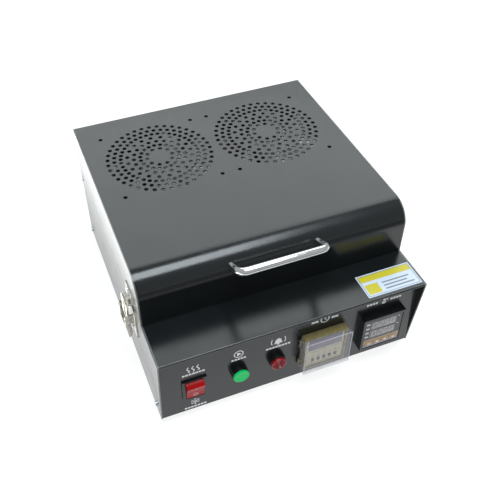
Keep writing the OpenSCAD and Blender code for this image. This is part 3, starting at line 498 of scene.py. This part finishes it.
def box_mesh(bm, low, high, bevel, segments=2):
    """A box between two case points in millimetres, with rounded edges."""
    lo, hi = at(*low), at(*high)
    made = bmesh.ops.create_cube(bm, size=1)["verts"]
    for v in made:
        v.co = Vector((lo[i] + (v.co[i] + 0.5) * (hi[i] - lo[i]) for i in range(3)))
    edges = list({e for v in made for e in v.link_edges})
    bmesh.ops.bevel(bm, geom=edges, offset=bevel * MM, segments=segments, affect="EDGES", profile=0.5)


SUNK = 0.02


def facing_front(y):
    """Places (x, z) outlines on a plane that faces the front: w runs outwards, from just inside it."""
    return lambda u, v, w: at(u, y + SUNK - w, v)


def facing_up(z):
    """Places (x, y) outlines on a level plane: w runs upwards, from just inside it."""
    return lambda u, v, w: at(u, v, z - SUNK + w)


def tube(bm, points, radius, steps):
    """A round bar along row frame points, its section carried along without twist."""
    rings = []
    tangent = (points[1] - points[0]).normalized()
    side = tangent.orthogonal().normalized()
    for i, p in enumerate(points):
        a = points[max(i - 1, 0)]
        b = points[min(i + 1, len(points) - 1)]
        t = (b - a).normalized()
        side = (side - t * side.dot(t)).normalized()
        other = t.cross(side)
        ring = []
        for k in range(steps):
            angle = 2 * math.pi * k / steps
            spoke = side * math.cos(angle) + other * math.sin(angle)
            ring.append(bm.verts.new(p + spoke * radius * MM))
        rings.append(ring)
    for a, b in zip(rings, rings[1:]):
        for k in range(steps):
            n = (k + 1) % steps
            bm.faces.new((a[k], a[n], b[n], b[k]))
    bm.faces.new(rings[0][::-1])
    bm.faces.new(rings[-1])


SEGMENTS = {"a": ((0, 2), (1, 2)), "b": ((1, 2), (1, 1)), "c": ((1, 1), (1, 0)), "d": ((0, 0), (1, 0)),
            "e": ((0, 0), (0, 1)), "f": ((0, 1), (0, 2)), "g": ((0, 1), (1, 1))}
DIGIT_LEAN = 0.06
DIGITS = ["abcdef", "bc", "abged", "abgcd", "fgbc", "afgcd", "afgedc", "abc", "abcdefg", "abcdfg"]


def digit(bm, value, u, v, width, height, line, place, depth):
    """A seven-segment digit whose lower left corner is (u, v), leaning a little."""
    for key in DIGITS[value]:
        (x0, y0), (x1, y1) = SEGMENTS[key]
        ends = []
        for x, y in ((x0, y0), (x1, y1)):
            ends.append(Vector((u + x * width + y * height * DIGIT_LEAN, v + y * height / 2)))
        way = (ends[1] - ends[0]).normalized() * line * 0.6
        stroke(bm, [tuple(ends[0] + way), tuple(ends[1] - way)], line, place, depth)


# ---------- handle ----------

low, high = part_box("lid_skin")
LID_TOP = high.z / MM
LID_R = 23.0
FOLD_Y = (low.y - CASE.y) / MM + LID_R
FOLD_Z = LID_TOP - LID_R
HANDLE_X = -1.5
HANDLE_HALF = 45.0
HANDLE_OUT = 46.0
HANDLE_R = 4.0
HANDLE_BEND = 9.0
HANDLE_LEG = 30.0
HANDLE_TILT = math.radians(27)


def on_handle(x, out):
    """A point of the handle's plane, which leans out from the middle of the lid's round fold."""
    return at(HANDLE_X + x, FOLD_Y - math.cos(HANDLE_TILT) * out, FOLD_Z + math.sin(HANDLE_TILT) * out)


def handle_path():
    """The bar's middle line: a leg, a bend, the grip, a bend and a leg."""
    side = [(HANDLE_HALF, LID_R - 0.4), (HANDLE_HALF, HANDLE_LEG)]
    side += arc(HANDLE_HALF - HANDLE_BEND, HANDLE_OUT - HANDLE_BEND, HANDLE_BEND, 12, 0, 90)
    grip = [((HANDLE_HALF - HANDLE_BEND) * k / 4, HANDLE_OUT) for k in range(-3, 4)]
    points = [(-x, out) for x, out in side] + grip + side[::-1]
    return [on_handle(x, out) for x, out in points]


bm = bmesh.new()
tube(bm, handle_path(), HANDLE_R, 40)
finish_mesh("handle_bar", bm, MATERIALS["chrome"], "lid", ["lid_handle"])

# ---------- rocker switch ----------

rocker_frame = middle("rocker_frame")
ROCKER_Y = PANEL_Y + 3
ROCKER_THROW = math.radians(13)
KEY_R = 13.0
KEY_HALF = 9.2
HOLLOW_OUT = 6.5
FACE_END_OUT = 7.8
FACE_END_UP = 10.4


def on_rocker(x, y, z):
    """A point of the rocker's own frame, in which its two faces are alike."""
    return at(rocker_frame.x + x, ROCKER_Y + y * math.cos(ROCKER_THROW) - z * math.sin(ROCKER_THROW),
              rocker_frame.z + y * math.sin(ROCKER_THROW) + z * math.cos(ROCKER_THROW))


def rocker_outline():
    """The key from its side: two faces that meet in a shallow hollow, and round ends."""
    lower = [(-FACE_END_OUT, -FACE_END_UP)]
    first = math.atan2(-FACE_END_UP, -FACE_END_OUT)
    for k in range(1, 10):
        angle = first + math.radians(7.5 * k)
        lower.append((KEY_R * math.cos(angle), KEY_R * math.sin(angle)))
    lower.append((6.0, -3.0))
    return [(-HOLLOW_OUT, 0.0)] + lower + [(u, -v) for u, v in lower[::-1]]


bm = bmesh.new()
prism(bm, rocker_outline(), lambda u, v, w: on_rocker(w - KEY_HALF, u, v), 2 * KEY_HALF)
sharp_edges = [e for e in bm.edges if e.calc_face_angle(0) > math.radians(35)]
bmesh.ops.bevel(bm, geom=sharp_edges, offset=0.45 * MM, segments=3, affect="EDGES", profile=0.6)
finish_mesh("rocker_cap", bm, MATERIALS["red"], "rocker", ["rocker_key"])

slope = Vector((HOLLOW_OUT - FACE_END_OUT, FACE_END_UP)).normalized()


def on_key_face(way):
    """Places outlines on the upper face (way 1) or the lower one (-1): v runs from the hollow line."""
    def place(u, v, w):
        along = Vector((slope.x, way * slope.y)) * v
        outwards = Vector((-slope.y, way * slope.x)) * (w - SUNK)
        p = Vector((-HOLLOW_OUT, 0)) + along + outwards
        return on_rocker(u, p.x, p.y)
    return place


bm = bmesh.new()
ring(bm, 0, 6.2, 2.1, 0.42, on_key_face(-1), 0.06)
bar(bm, -0.25, 3.6, 0.25, 7.8, on_key_face(1), 0.06)
finish_mesh("rocker_marks", bm, INK, "rocker")

# ---------- start button and buzzer ----------

CAP_R = 8.22


def rim_arc(radius, width, low, rise, steps):
    """The rounded rim of a cap, from its side up to its face."""
    points = []
    for k in range(1, steps + 1):
        a = math.pi / 2 * k / steps
        points.append((radius - width * (1 - math.cos(a)), low + rise * math.sin(a)))
    return points


profile = [(0, -3.7), (8.05, -3.7), (CAP_R, -3.4), (CAP_R, -0.5)] + rim_arc(CAP_R, 1.1, -0.5, 0.5, 6)
profile += [(6.6, -0.02), (6.2, -0.12), (5.6, -0.3), (4.0, -0.45), (2.0, -0.52), (0, -0.55)]
bm = bmesh.new()
lathe(bm, profile, front_centre("start_button_cap"), (0, -1, 0), 72)
finish_mesh("start_cap", bm, MATERIALS["green"], "start_button", ["start_button_cap"], 40)

LENS_R = 8.0
lens_profile = [(0, -4.4), (LENS_R, -4.4), (LENS_R, -1.3)] + rim_arc(LENS_R, 0.9, -1.3, 0.9, 4)
for i in range(5):
    r = 6.5 - i * 1.2
    lens_profile += [(r, -0.85), (r - 0.3, -0.2), (r - 0.65, -0.08), (r - 0.95, -0.7)]
lens_profile += [(0.3, -0.2), (0, -0.15)]


def lens_facets(i, angle):
    """Radial facets that cross the lens's round ribs, but not its middle and its rim."""
    r, height = lens_profile[i]
    if not 1.2 < r < 6.8 or height < -1:
        return 0
    return -0.4 * (0.5 - 0.5 * math.cos(12 * angle))


bm = bmesh.new()
lathe(bm, lens_profile, front_centre("buzzer_lens"), (0, -1, 0), 96, lens_facets)
finish_mesh("buzzer_cap", bm, MATERIALS["lens_red"], "base", ["buzzer_lens"], 25)

# ---------- timer ----------

timer = middle("timer_face")
face_y = front_y("timer_face")
tx, tz = timer.x, timer.z
WHEEL_STEP = 6.35
WINDOW_HALF = 18.5
WINDOW_OUT = 0.35
bm = bmesh.new()
box_mesh(bm, (tx - WINDOW_HALF, face_y - WINDOW_OUT, tz + 3.2),
         (tx + WINDOW_HALF, face_y + 0.3, tz + 19.2), 0.3)
window = printed("display_glass", (0.19, 0.2, 0.26), (0.15, 0.16, 0.21), 0.14)
finish_mesh("timer_window", bm, window, "base")
bm = bmesh.new()
for i in range(4):
    digit(bm, 0, tx - 14.4 + i * 7.6, tz + 6.4, 4.4, 9.2, 0.9, facing_front(face_y - WINDOW_OUT), 0.06)
finish_mesh("timer_digits", bm, RED_SEGMENT, "base")
bm = bmesh.new()
place = facing_front(face_y)
for i in range(5):
    x = tx + (i - 2) * WHEEL_STEP
    bar(bm, x - 1.6, tz - 16.2, x + 1.6, tz - 15.8, place, 0.05)
for z in (tz + 1.2, tz - 19.2):
    bar(bm, tx - WINDOW_HALF, z - 0.14, tx + WINDOW_HALF, z + 0.14, place, 0.05)
finish_mesh("timer_rules", bm, DARK_INK, "base")
bm = bmesh.new()
for i, value in enumerate((0, 0, 5, 3, 0)):
    digit(bm, value, tx + (i - 2) * WHEEL_STEP - 0.9, tz - 8.2, 1.6, 3.2, 0.3, place, 0.05)
finish_mesh("timer_wheel_digits", bm, DARK_INK, "base")
bm = bmesh.new()
for k in range(3):
    bar(bm, tx - 16 + 12 * k, tz - 0.9, tx - 9 + 12 * k, tz - 0.3, place, 0.05)
finish_mesh("timer_print", bm, GREY_INK, "base")

COVER_WIDTH = 51.6
COVER_HALF_HEIGHT = 23.3
RIM = 0.5
cover_front = front_y("timer_cover")
cover_right = (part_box("timer_cover")[1].x - CASE.x) / MM
cover_left = cover_right - COVER_WIDTH
bm = bmesh.new()
for group in (tz + 9, tz - 16):
    for k in range(4):
        rib = group + k * 1.7
        box_mesh(bm, (cover_left - 0.35, cover_front + 2.0, rib),
                 (cover_left + 0.2, cover_front + 6.2, rib + 0.8), 0.12, 1)
finish_mesh("cover_grip_ribs", bm, MATERIALS["clear"], "timer_cover")
# painted highlight: the cover's front rim is pale and nearly opaque, standing in for the light along its
# edges
bm = bmesh.new()
for z in (tz - COVER_HALF_HEIGHT, tz + COVER_HALF_HEIGHT - RIM):
    box_mesh(bm, (cover_left + 0.2, cover_front, z), (cover_right - 0.2, cover_front + RIM, z + RIM), 0.12, 1)
for x in (cover_left, cover_right - RIM):
    box_mesh(bm, (x, cover_front, tz - 23.1), (x + RIM, cover_front + RIM, tz + 23.1), 0.12, 1)
rim_highlight_look = clear_plastic("cover_edge_painted_highlight", (0.86, 0.88, 0.95), 0.5, 0.9)
finish_mesh("cover_edge_highlight_strips", bm, rim_highlight_look, "timer_cover")

# ---------- temperature controller ----------

control = middle("controller_face")
control_y = front_y("controller_face")
cx, cz = control.x, control.z
GLASS_OUT = 0.25
STRIP_HALF = 20.6
glass = printed("readout_glass", (0.2, 0.19, 0.195), (0.16, 0.15, 0.155), 0.16)
bm = bmesh.new()
for top, bottom in ((18.2, 7.4), (4.8, -6.0)):
    box_mesh(bm, (cx - 14.9, control_y - GLASS_OUT, cz + bottom),
             (cx + 13.9, control_y + 0.3, cz + top), 0.25)
finish_mesh("readout_windows", bm, glass, "base")
bm = bmesh.new()
place = facing_front(control_y - GLASS_OUT)
for row, values in ((9.0, (0, 2, 5, 0)), (-4.3, (0, 2, 6, 0))):
    for i, value in enumerate(values):
        digit(bm, value, cx - 12.6 + i * 6.6, cz + row, 4.0, 7.4, 0.6, place, 0.06)
finish_mesh("readout_digits", bm, PALE_SEGMENT, "base")
bm = bmesh.new()
place = facing_front(control_y)
for z in (16.3, 9.6, 2.9, -3.4):
    bar(bm, cx - 20.4, cz + z - 0.7, cx - 16.6, cz + z + 0.7, place, 0.08)
for z in (16.8, 4.8):
    bar(bm, cx + 16.0, cz + z - 0.5, cx + 17.8, cz + z + 0.5, place, 0.06)
finish_mesh("indicator_marks", bm, INK, "base")
bm = bmesh.new()
bar(bm, cx - STRIP_HALF, cz - 17.9, cx + STRIP_HALF, cz - 9.2, place, 0.06)
finish_mesh("key_strip", bm, TAN_STRIP, "base")
bm = bmesh.new()
bar(bm, cx - STRIP_HALF, cz - 20.9, cx + STRIP_HALF, cz - 18.8, place, 0.06)
finish_mesh("maker_strip", bm, PALE_STRIP, "base")
KEY_SYMBOLS = {
    1: [[(-1.5, low), (1.5, low), (1.5, low + 0.5), (-1.5, low + 0.5)] for low in (-1.2, 0.7)],
    2: [[(-1.6, 0), (1.2, -1.5), (1.2, 1.5)]],
    3: [[(-1.6, 1.1), (0, -1.5), (1.6, 1.1)]],
    4: [[(-1.6, -1.1), (1.6, -1.1), (0, 1.5)]],
}
for i, outlines in KEY_SYMBOLS.items():
    key = middle(f"controller_key_{i}")
    place = facing_front(front_y(f"controller_key_{i}"))
    bm = bmesh.new()
    for outline in outlines:
        prism(bm, [(key.x + u, key.z + v) for u, v in outline], place, 0.06)
    finish_mesh(f"key_symbol_{i}", bm, INK, f"controller_key_{i}")

# ---------- printing on the panel and the shelf label ----------

PRINT = 0.05
HEAT_X = -104.0
HEAT_BLOCKS = (HEAT_X - 11.5, HEAT_X + 12.2)
ink = facing_front(PANEL_Y)


def blocks(bm, u0, u1, height, size):
    """A printed row of plain blocks, with small gaps, at a height above the case's foot."""
    v = BASE_Z + height
    count = max(2, round((u1 - u0) / 3.2))
    step = (u1 - u0) / count
    for k in range(count):
        bar(bm, u0 + k * step, v, u0 + (k + 1) * step - 0.7, v + size, ink, PRINT)


def heat_waves(bm, u, v):
    """Three rising waves side by side."""
    for k in (-1, 0, 1):
        wave = []
        for j in range(15):
            t = j / 14
            wave.append((u + k * 5.0 + 1.1 * math.sin(t * math.pi * 2.2), v + t * 8.4))
        stroke(bm, wave, 1.2, ink, PRINT)


def snowflake(bm, u, v):
    """Three crossed arms with a small fork near each end."""
    for k in range(3):
        angle = math.radians(60 * k + 30)
        du, dv = 4.6 * math.cos(angle), 4.6 * math.sin(angle)
        stroke(bm, [(u - du, v - dv), (u + du, v + dv)], 1.0, ink, PRINT)
        for way in (-1, 1):
            root_u, root_v = u + way * du * 0.6, v + way * dv * 0.6
            for turn in (-0.7, 0.7):
                b = angle + (0 if way > 0 else math.pi) + turn
                tip = (root_u + 1.9 * math.cos(b), root_v + 1.9 * math.sin(b))
                stroke(bm, [(root_u, root_v), tip], 0.8, ink, PRINT)


def start_sign(bm, u, v):
    """A ring round an arrowhead."""
    ring(bm, u, v, 4.6, 1.0, ink, PRINT)
    prism(bm, [(u - 1.6, v - 2.8), (u + 3.0, v), (u - 1.6, v + 2.8)], ink, PRINT)


def bell(bm, u, v):
    """A bell with its clapper, between two arcs of sound."""
    half = [(4.6, 0), (3.8, 1.6), (3.2, 5.0), (1.8, 6.8), (0.6, 7.4)]
    outline = [(-4.6, 0)] + half + [(-x, y) for x, y in half[:0:-1]]
    prism(bm, [(u + x, v + y) for x, y in outline], ink, PRINT)
    disc(bm, u, v - 1.2, 1.2, ink, PRINT)
    for first in (148, -32):
        ring(bm, u, v + 3.8, 7.6, 0.9, ink, PRINT, 10, first, 64)


def clock_sign(bm, u, v):
    """A clock with two hands."""
    ring(bm, u, v, 4.4, 1.0, ink, PRINT)
    stroke(bm, [(u, v - 0.2), (u, v + 3.0)], 0.9, ink, PRINT)
    stroke(bm, [(u - 0.3, v + 0.2), (u + 2.4, v - 1.2)], 0.9, ink, PRINT)


def thermometer(bm, u, v):
    """A bulb, its stem and three marks."""
    disc(bm, u, v, 2.2, ink, PRINT)
    bar(bm, u - 1.1, v + 0.6, u + 1.1, v + 7.0, ink, PRINT)
    for k in range(3):
        bar(bm, u + 2.1, v + 2.2 + k * 1.8, u + 4.4, v + 3.0 + k * 1.8, ink, PRINT)


start_x = middle("start_button_cap").x
bell_x = middle("buzzer_lens").x + 1.4
bm = bmesh.new()
heat_waves(bm, HEAT_X, BASE_Z + 63.6)
blocks(bm, *HEAT_BLOCKS, 59.4, 2.4)
snowflake(bm, HEAT_X, BASE_Z + 13.6)
blocks(bm, *HEAT_BLOCKS, 4.4, 2.4)
start_sign(bm, start_x, BASE_Z + 68.2)
blocks(bm, start_x - 7.5, start_x + 8.2, 59.2, 2.4)
bell(bm, bell_x, BASE_Z + 65.6)
blocks(bm, bell_x - 13, bell_x + 13.7, 59.6, 2.4)
clock_sign(bm, tx, BASE_Z + 80.4)
thermometer(bm, cx, BASE_Z + 78.0)
for mid_x, reach in ((tx, 14.5), (cx, 19.5)):
    for way in (-1, 1):
        near, far = sorted((mid_x + way * 7.2, mid_x + way * reach))
        blocks(bm, near, far + 0.7, 78.6, 2.6)
finish_mesh("panel_symbols", bm, INK, "base")

label_low, label_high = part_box("safety_label")
lo, hi = (label_low - CASE) / MM, (label_high - CASE) / MM
print_on = facing_up(hi.z)
INSET = 1.3
LINE = 0.45
u0, v0, u1, v1 = lo.x + INSET, lo.y + INSET, hi.x - INSET, hi.y - INSET
bm = bmesh.new()
for corners in ((u0, v0, u1, v0 + LINE), (u0, v1 - LINE, u1, v1),
                (u0, v0, u0 + LINE, v1), (u1 - LINE, v0, u1, v1)):
    bar(bm, *corners, print_on, PRINT)
finish_mesh("label_border", bm, DARK_INK, "base")
bm = bmesh.new()
bar(bm, lo.x + 1.9, hi.y - 9.6, hi.x - 1.9, hi.y - 1.9, print_on, PRINT)
bar(bm, lo.x + 3.2, lo.y + 3.4, lo.x + 17.4, lo.y + 16.2, print_on, PRINT)
finish_mesh("label_yellow", bm, YELLOW_INK, "base")
bm = bmesh.new()
for k, reach in enumerate((52, 48, 54)):
    bar(bm, lo.x + 22, lo.y + 13.2 - k * 4.2, lo.x + reach, lo.y + 14.9 - k * 4.2, print_on, PRINT)
finish_mesh("label_bars", bm, GREY_INK, "base")

# ---------- fans ----------

ROTOR_MAT = moulded("pale_fan_moulding", (0.6, 0.62, 0.63), (0.48, 0.5, 0.51), 0.35, 900, 0.08)


BLADES = 7
HUB_R = 20.5
HUB_ROUND = 2.4
ALONG = 9
ACROSS = 8
BLADE_HALF = 0.65


def hub_profile(height):
    """The hub's cup: a round edge on top and a shallow recess for the disc."""
    points = [(0, 0.2), (4.2, 0.0), (HUB_R - 0.5, 0.0), (HUB_R, 0.4), (HUB_R, height - 2.6)]
    for k in range(1, 7):
        a = math.pi / 2 * k / 6
        points.append((HUB_R - HUB_ROUND * (1 - math.cos(a)), height - 2.6 + HUB_ROUND * math.sin(a)))
    return points + [(12.5, height - 0.1), (12.0, height - 0.5), (0, height - 0.55)]


def blade_grid(turn, tip, height):
    """The middle surface of one swept and twisted blade, from inside the hub out to the tip."""
    root = HUB_R - 1.0
    grid = []
    for i in range(ALONG + 1):
        t = i / ALONG
        r = root + (tip - root) * t
        pitch = math.radians(52 - 26 * t)
        chord = 19 + 9 * t
        sweep = math.radians(14) * t * t
        row = []
        for j in range(ACROSS + 1):
            s = j / ACROSS - 0.5
            camber = 1.7 * (1 - 4 * s * s)
            round_hub = s * chord * math.cos(pitch) - camber * math.sin(pitch)
            up = s * chord * math.sin(pitch) + camber * math.cos(pitch)
            up = min(max(up, -height / 2 + 1.0), height / 2 - 1.0)
            a = turn + sweep + round_hub / r
            row.append((r * math.cos(a), r * math.sin(a), height / 2 + up))
        grid.append(row)
    return grid


def add_blade(bm, grid, centre):
    """Closes two sheets, above and below the middle surface, into one blade."""
    sheets = []
    for lift in (-BLADE_HALF, BLADE_HALF):
        sheet = []
        for row in grid:
            sheet.append([bm.verts.new(centre + Vector((x, y, z + lift)) * MM) for x, y, z in row])
        sheets.append(sheet)
    for i in range(ALONG):
        for j in range(ACROSS):
            for q in sheets:
                bm.faces.new((q[i][j], q[i + 1][j], q[i + 1][j + 1], q[i][j + 1]))
    border = [(i, 0) for i in range(ALONG)] + [(ALONG, j) for j in range(ACROSS)]
    border += [(i, ACROSS) for i in range(ALONG, 0, -1)] + [(0, j) for j in range(ACROSS, 0, -1)]
    lower, upper = sheets
    for (i0, j0), (i1, j1) in zip(border, border[1:] + border[:1]):
        bm.faces.new((lower[i0][j0], lower[i1][j1], upper[i1][j1], upper[i0][j0]))


def rotor(side):
    """One fan's impeller, and the disc on its hub."""
    node = f"fan_rotor_{side}"
    lo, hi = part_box(node)
    height = (hi.z - lo.z) / MM
    centre = Vector(((lo.x + hi.x) / 2, (lo.y + hi.y) / 2, lo.z))
    tip = (hi.x - lo.x) / 2 / MM - 0.15
    bm = bmesh.new()
    lathe(bm, hub_profile(height), centre, (0, 0, 1), 72)
    for k in range(BLADES):
        add_blade(bm, blade_grid(2 * math.pi * k / BLADES, tip, height), centre)
    finish_mesh(f"fan_impeller_{side}", bm, ROTOR_MAT, f"fan_{side}", [node])
    bm = bmesh.new()
    disc_profile = [(0, 0), (11.6, 0), (11.6, 0.16), (11.4, 0.2), (0, 0.2)]
    lathe(bm, disc_profile, centre + Vector((0, 0, (height - 0.57) * MM)), (0, 0, 1), 48)
    finish_mesh(f"fan_hub_disc_{side}", bm, MATERIALS["label"], f"fan_{side}")


for side in ("left", "right"):
    rotor(side)

# ---------- lid seal ----------

seal_low, seal_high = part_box("lid_seal")
lo, hi = (seal_low - CASE) / MM, (seal_high - CASE) / MM
TAPE_WIDTH = 6.6
TAPE_THICK = hi.z - lo.z - 0.1
RIB_STEP = 0.8
AROUND = 12


def seal_strip(bm, a, b, across):
    """A flat woven tape from a to b: a rounded section that swells at every rib."""
    a, b, across = Vector(a), Vector(b), Vector(across)
    count = int((b - a).length / RIB_STEP)
    rows = []
    for i in range(count + 1):
        swell = 1 - 0.07 * (0.5 - 0.5 * math.cos(i * math.pi / 1.5))
        p = a.lerp(b, i / count)
        row = []
        for k in range(AROUND):
            t = 2 * math.pi * k / AROUND
            cu, cv = math.cos(t), math.sin(t)
            u = math.copysign(abs(cu) ** 0.45, cu) * TAPE_WIDTH / 2 * swell
            v = math.copysign(abs(cv) ** 0.6, cv) * TAPE_THICK / 2 * swell
            row.append(bm.verts.new(at(*(p + across * u + Vector((0, 0, v))))))
        rows.append(row)
    for r0, r1 in zip(rows, rows[1:]):
        for k in range(AROUND):
            n = (k + 1) % AROUND
            bm.faces.new((r0[k], r0[n], r1[n], r1[k]))
    bm.faces.new(rows[0][::-1])
    bm.faces.new(rows[-1])


seal_z = (lo.z + hi.z) / 2
front, rear = lo.y + 3.5, hi.y - 3.5
bm = bmesh.new()
for y in (front, rear):
    seal_strip(bm, (-136, y, seal_z), (136, y, seal_z), (0, 1, 0))
for x in (-132.5, 132.5):
    seal_strip(bm, (x, front + 3.4, seal_z), (x, rear - 3.4, seal_z), (1, 0, 0))
finish_mesh("seal_tape", bm, MATERIALS["seal"], "lid", ["lid_seal"], 60)

# ---------- floor, light and camera ----------


def stage_plane(name, centre, size, material):
    """A level rectangle of the studio."""
    bm = bmesh.new()
    bmesh.ops.create_grid(bm, x_segments=1, y_segments=1, size=0.5)
    mesh = bpy.data.meshes.new(name)
    bm.to_mesh(mesh)
    bm.free()
    obj = bpy.data.objects.new(name, mesh)
    obj.matrix_world = Matrix.Translation(centre) @ Matrix.Diagonal((*size, 1, 1))
    scene.collection.objects.link(obj)
    dress(obj, material)
    return obj


def glowing(name, dark, light, scale, glow, strength):
    """A matt surface that gives off light of its own."""
    g = Graph(name, roughness=0.9, specular_ior_level=0.0)
    g.set(base_color=g.mix(g.noise(scale, 2), dark, light))
    g.set(emission_color=glow, emission_strength=strength)
    return g.material


def reflected_only(card):
    """Leaves a card to be seen only in glossy surfaces."""
    card.visible_camera = card.visible_diffuse = card.visible_shadow = card.visible_transmission = False


floor_look = glowing("studio_floor", (0.26,) * 3, (0.28,) * 3, 3, (1.0, 1.0, 1.0), 0.8)
flag_look = glowing("black_flag", (0.03,) * 3, (0.04,) * 3, 40, (0.9, 0.96, 1.0), 0.25)
card_look = glowing("white_card", (0.8,) * 3, (0.82,) * 3, 40, (1.0, 1.0, 0.98), 3.5)
stage_plane("studio_floor", (0, 0, -0.0005), (16, 16), floor_look)
reflected_only(stage_plane("black_flag", (0, -1.33, 0.004), (5, 2.0), flag_look))
reflected_only(stage_plane("white_card", (-0.75, 0.35, 0.003), (1.16, 1.3), card_look))


def softbox(name, centre, target, width, height, radiance, tint):
    """A rectangular area light of a given radiance, turned to face the target."""
    light = bpy.data.lights.new(name, "AREA")
    light.shape = "RECTANGLE"
    light.size, light.size_y = width, height
    light.energy = radiance * math.pi * width * height
    light.color = tint
    obj = bpy.data.objects.new(name, light)
    way = Vector(target) - Vector(centre)
    obj.matrix_world = Matrix.Translation(centre) @ way.to_track_quat("-Z", "Y").to_matrix().to_4x4()
    scene.collection.objects.link(obj)


lid_mid = Vector((0.0, 0.0, LID_TOP * MM))
back_dir = Vector((0.30, 0.66, 0.70)).normalized()
softbox("back_softbox", lid_mid + back_dir * 2.3, lid_mid, 2.3, 1.35, 2.35, (0.95, 1.0, 0.995))
softbox("top_softbox", (-0.02, -0.36, 1.5), (-0.02, -0.36, 0.15), 0.95, 0.78, 10.0, (0.86, 0.95, 1.0))

world = bpy.data.worlds.new("studio")
scene.world = world
world.use_nodes = True
back = world.node_tree.nodes["Background"]
back.inputs["Color"].default_value = (0.92, 0.97, 1.0, 1)
back.inputs["Strength"].default_value = 0.5

camera_data = bpy.data.cameras.new("camera")
camera_data.lens = 51.1
camera_data.sensor_width = 36.0
camera_data.shift_x = 0.052
camera_data.shift_y = -0.012
camera = bpy.data.objects.new("camera", camera_data)
scene.collection.objects.link(camera)
CAMERA_RIGHT = (0.93403, -0.357, -0.01203)
CAMERA_UP = (0.25754, 0.64972, 0.71522)
CAMERA_BACK = (-0.24752, -0.67113, 0.69879)
CAMERA_PLACE = (-0.2075, -0.5303, 0.6305)
turn = Matrix((CAMERA_RIGHT, CAMERA_UP, CAMERA_BACK)).transposed().to_4x4()
camera.matrix_world = Matrix.Translation(CAMERA_PLACE) @ turn
scene.camera = camera
scene.view_settings.view_transform = "Standard"
scene.view_settings.look = "None"
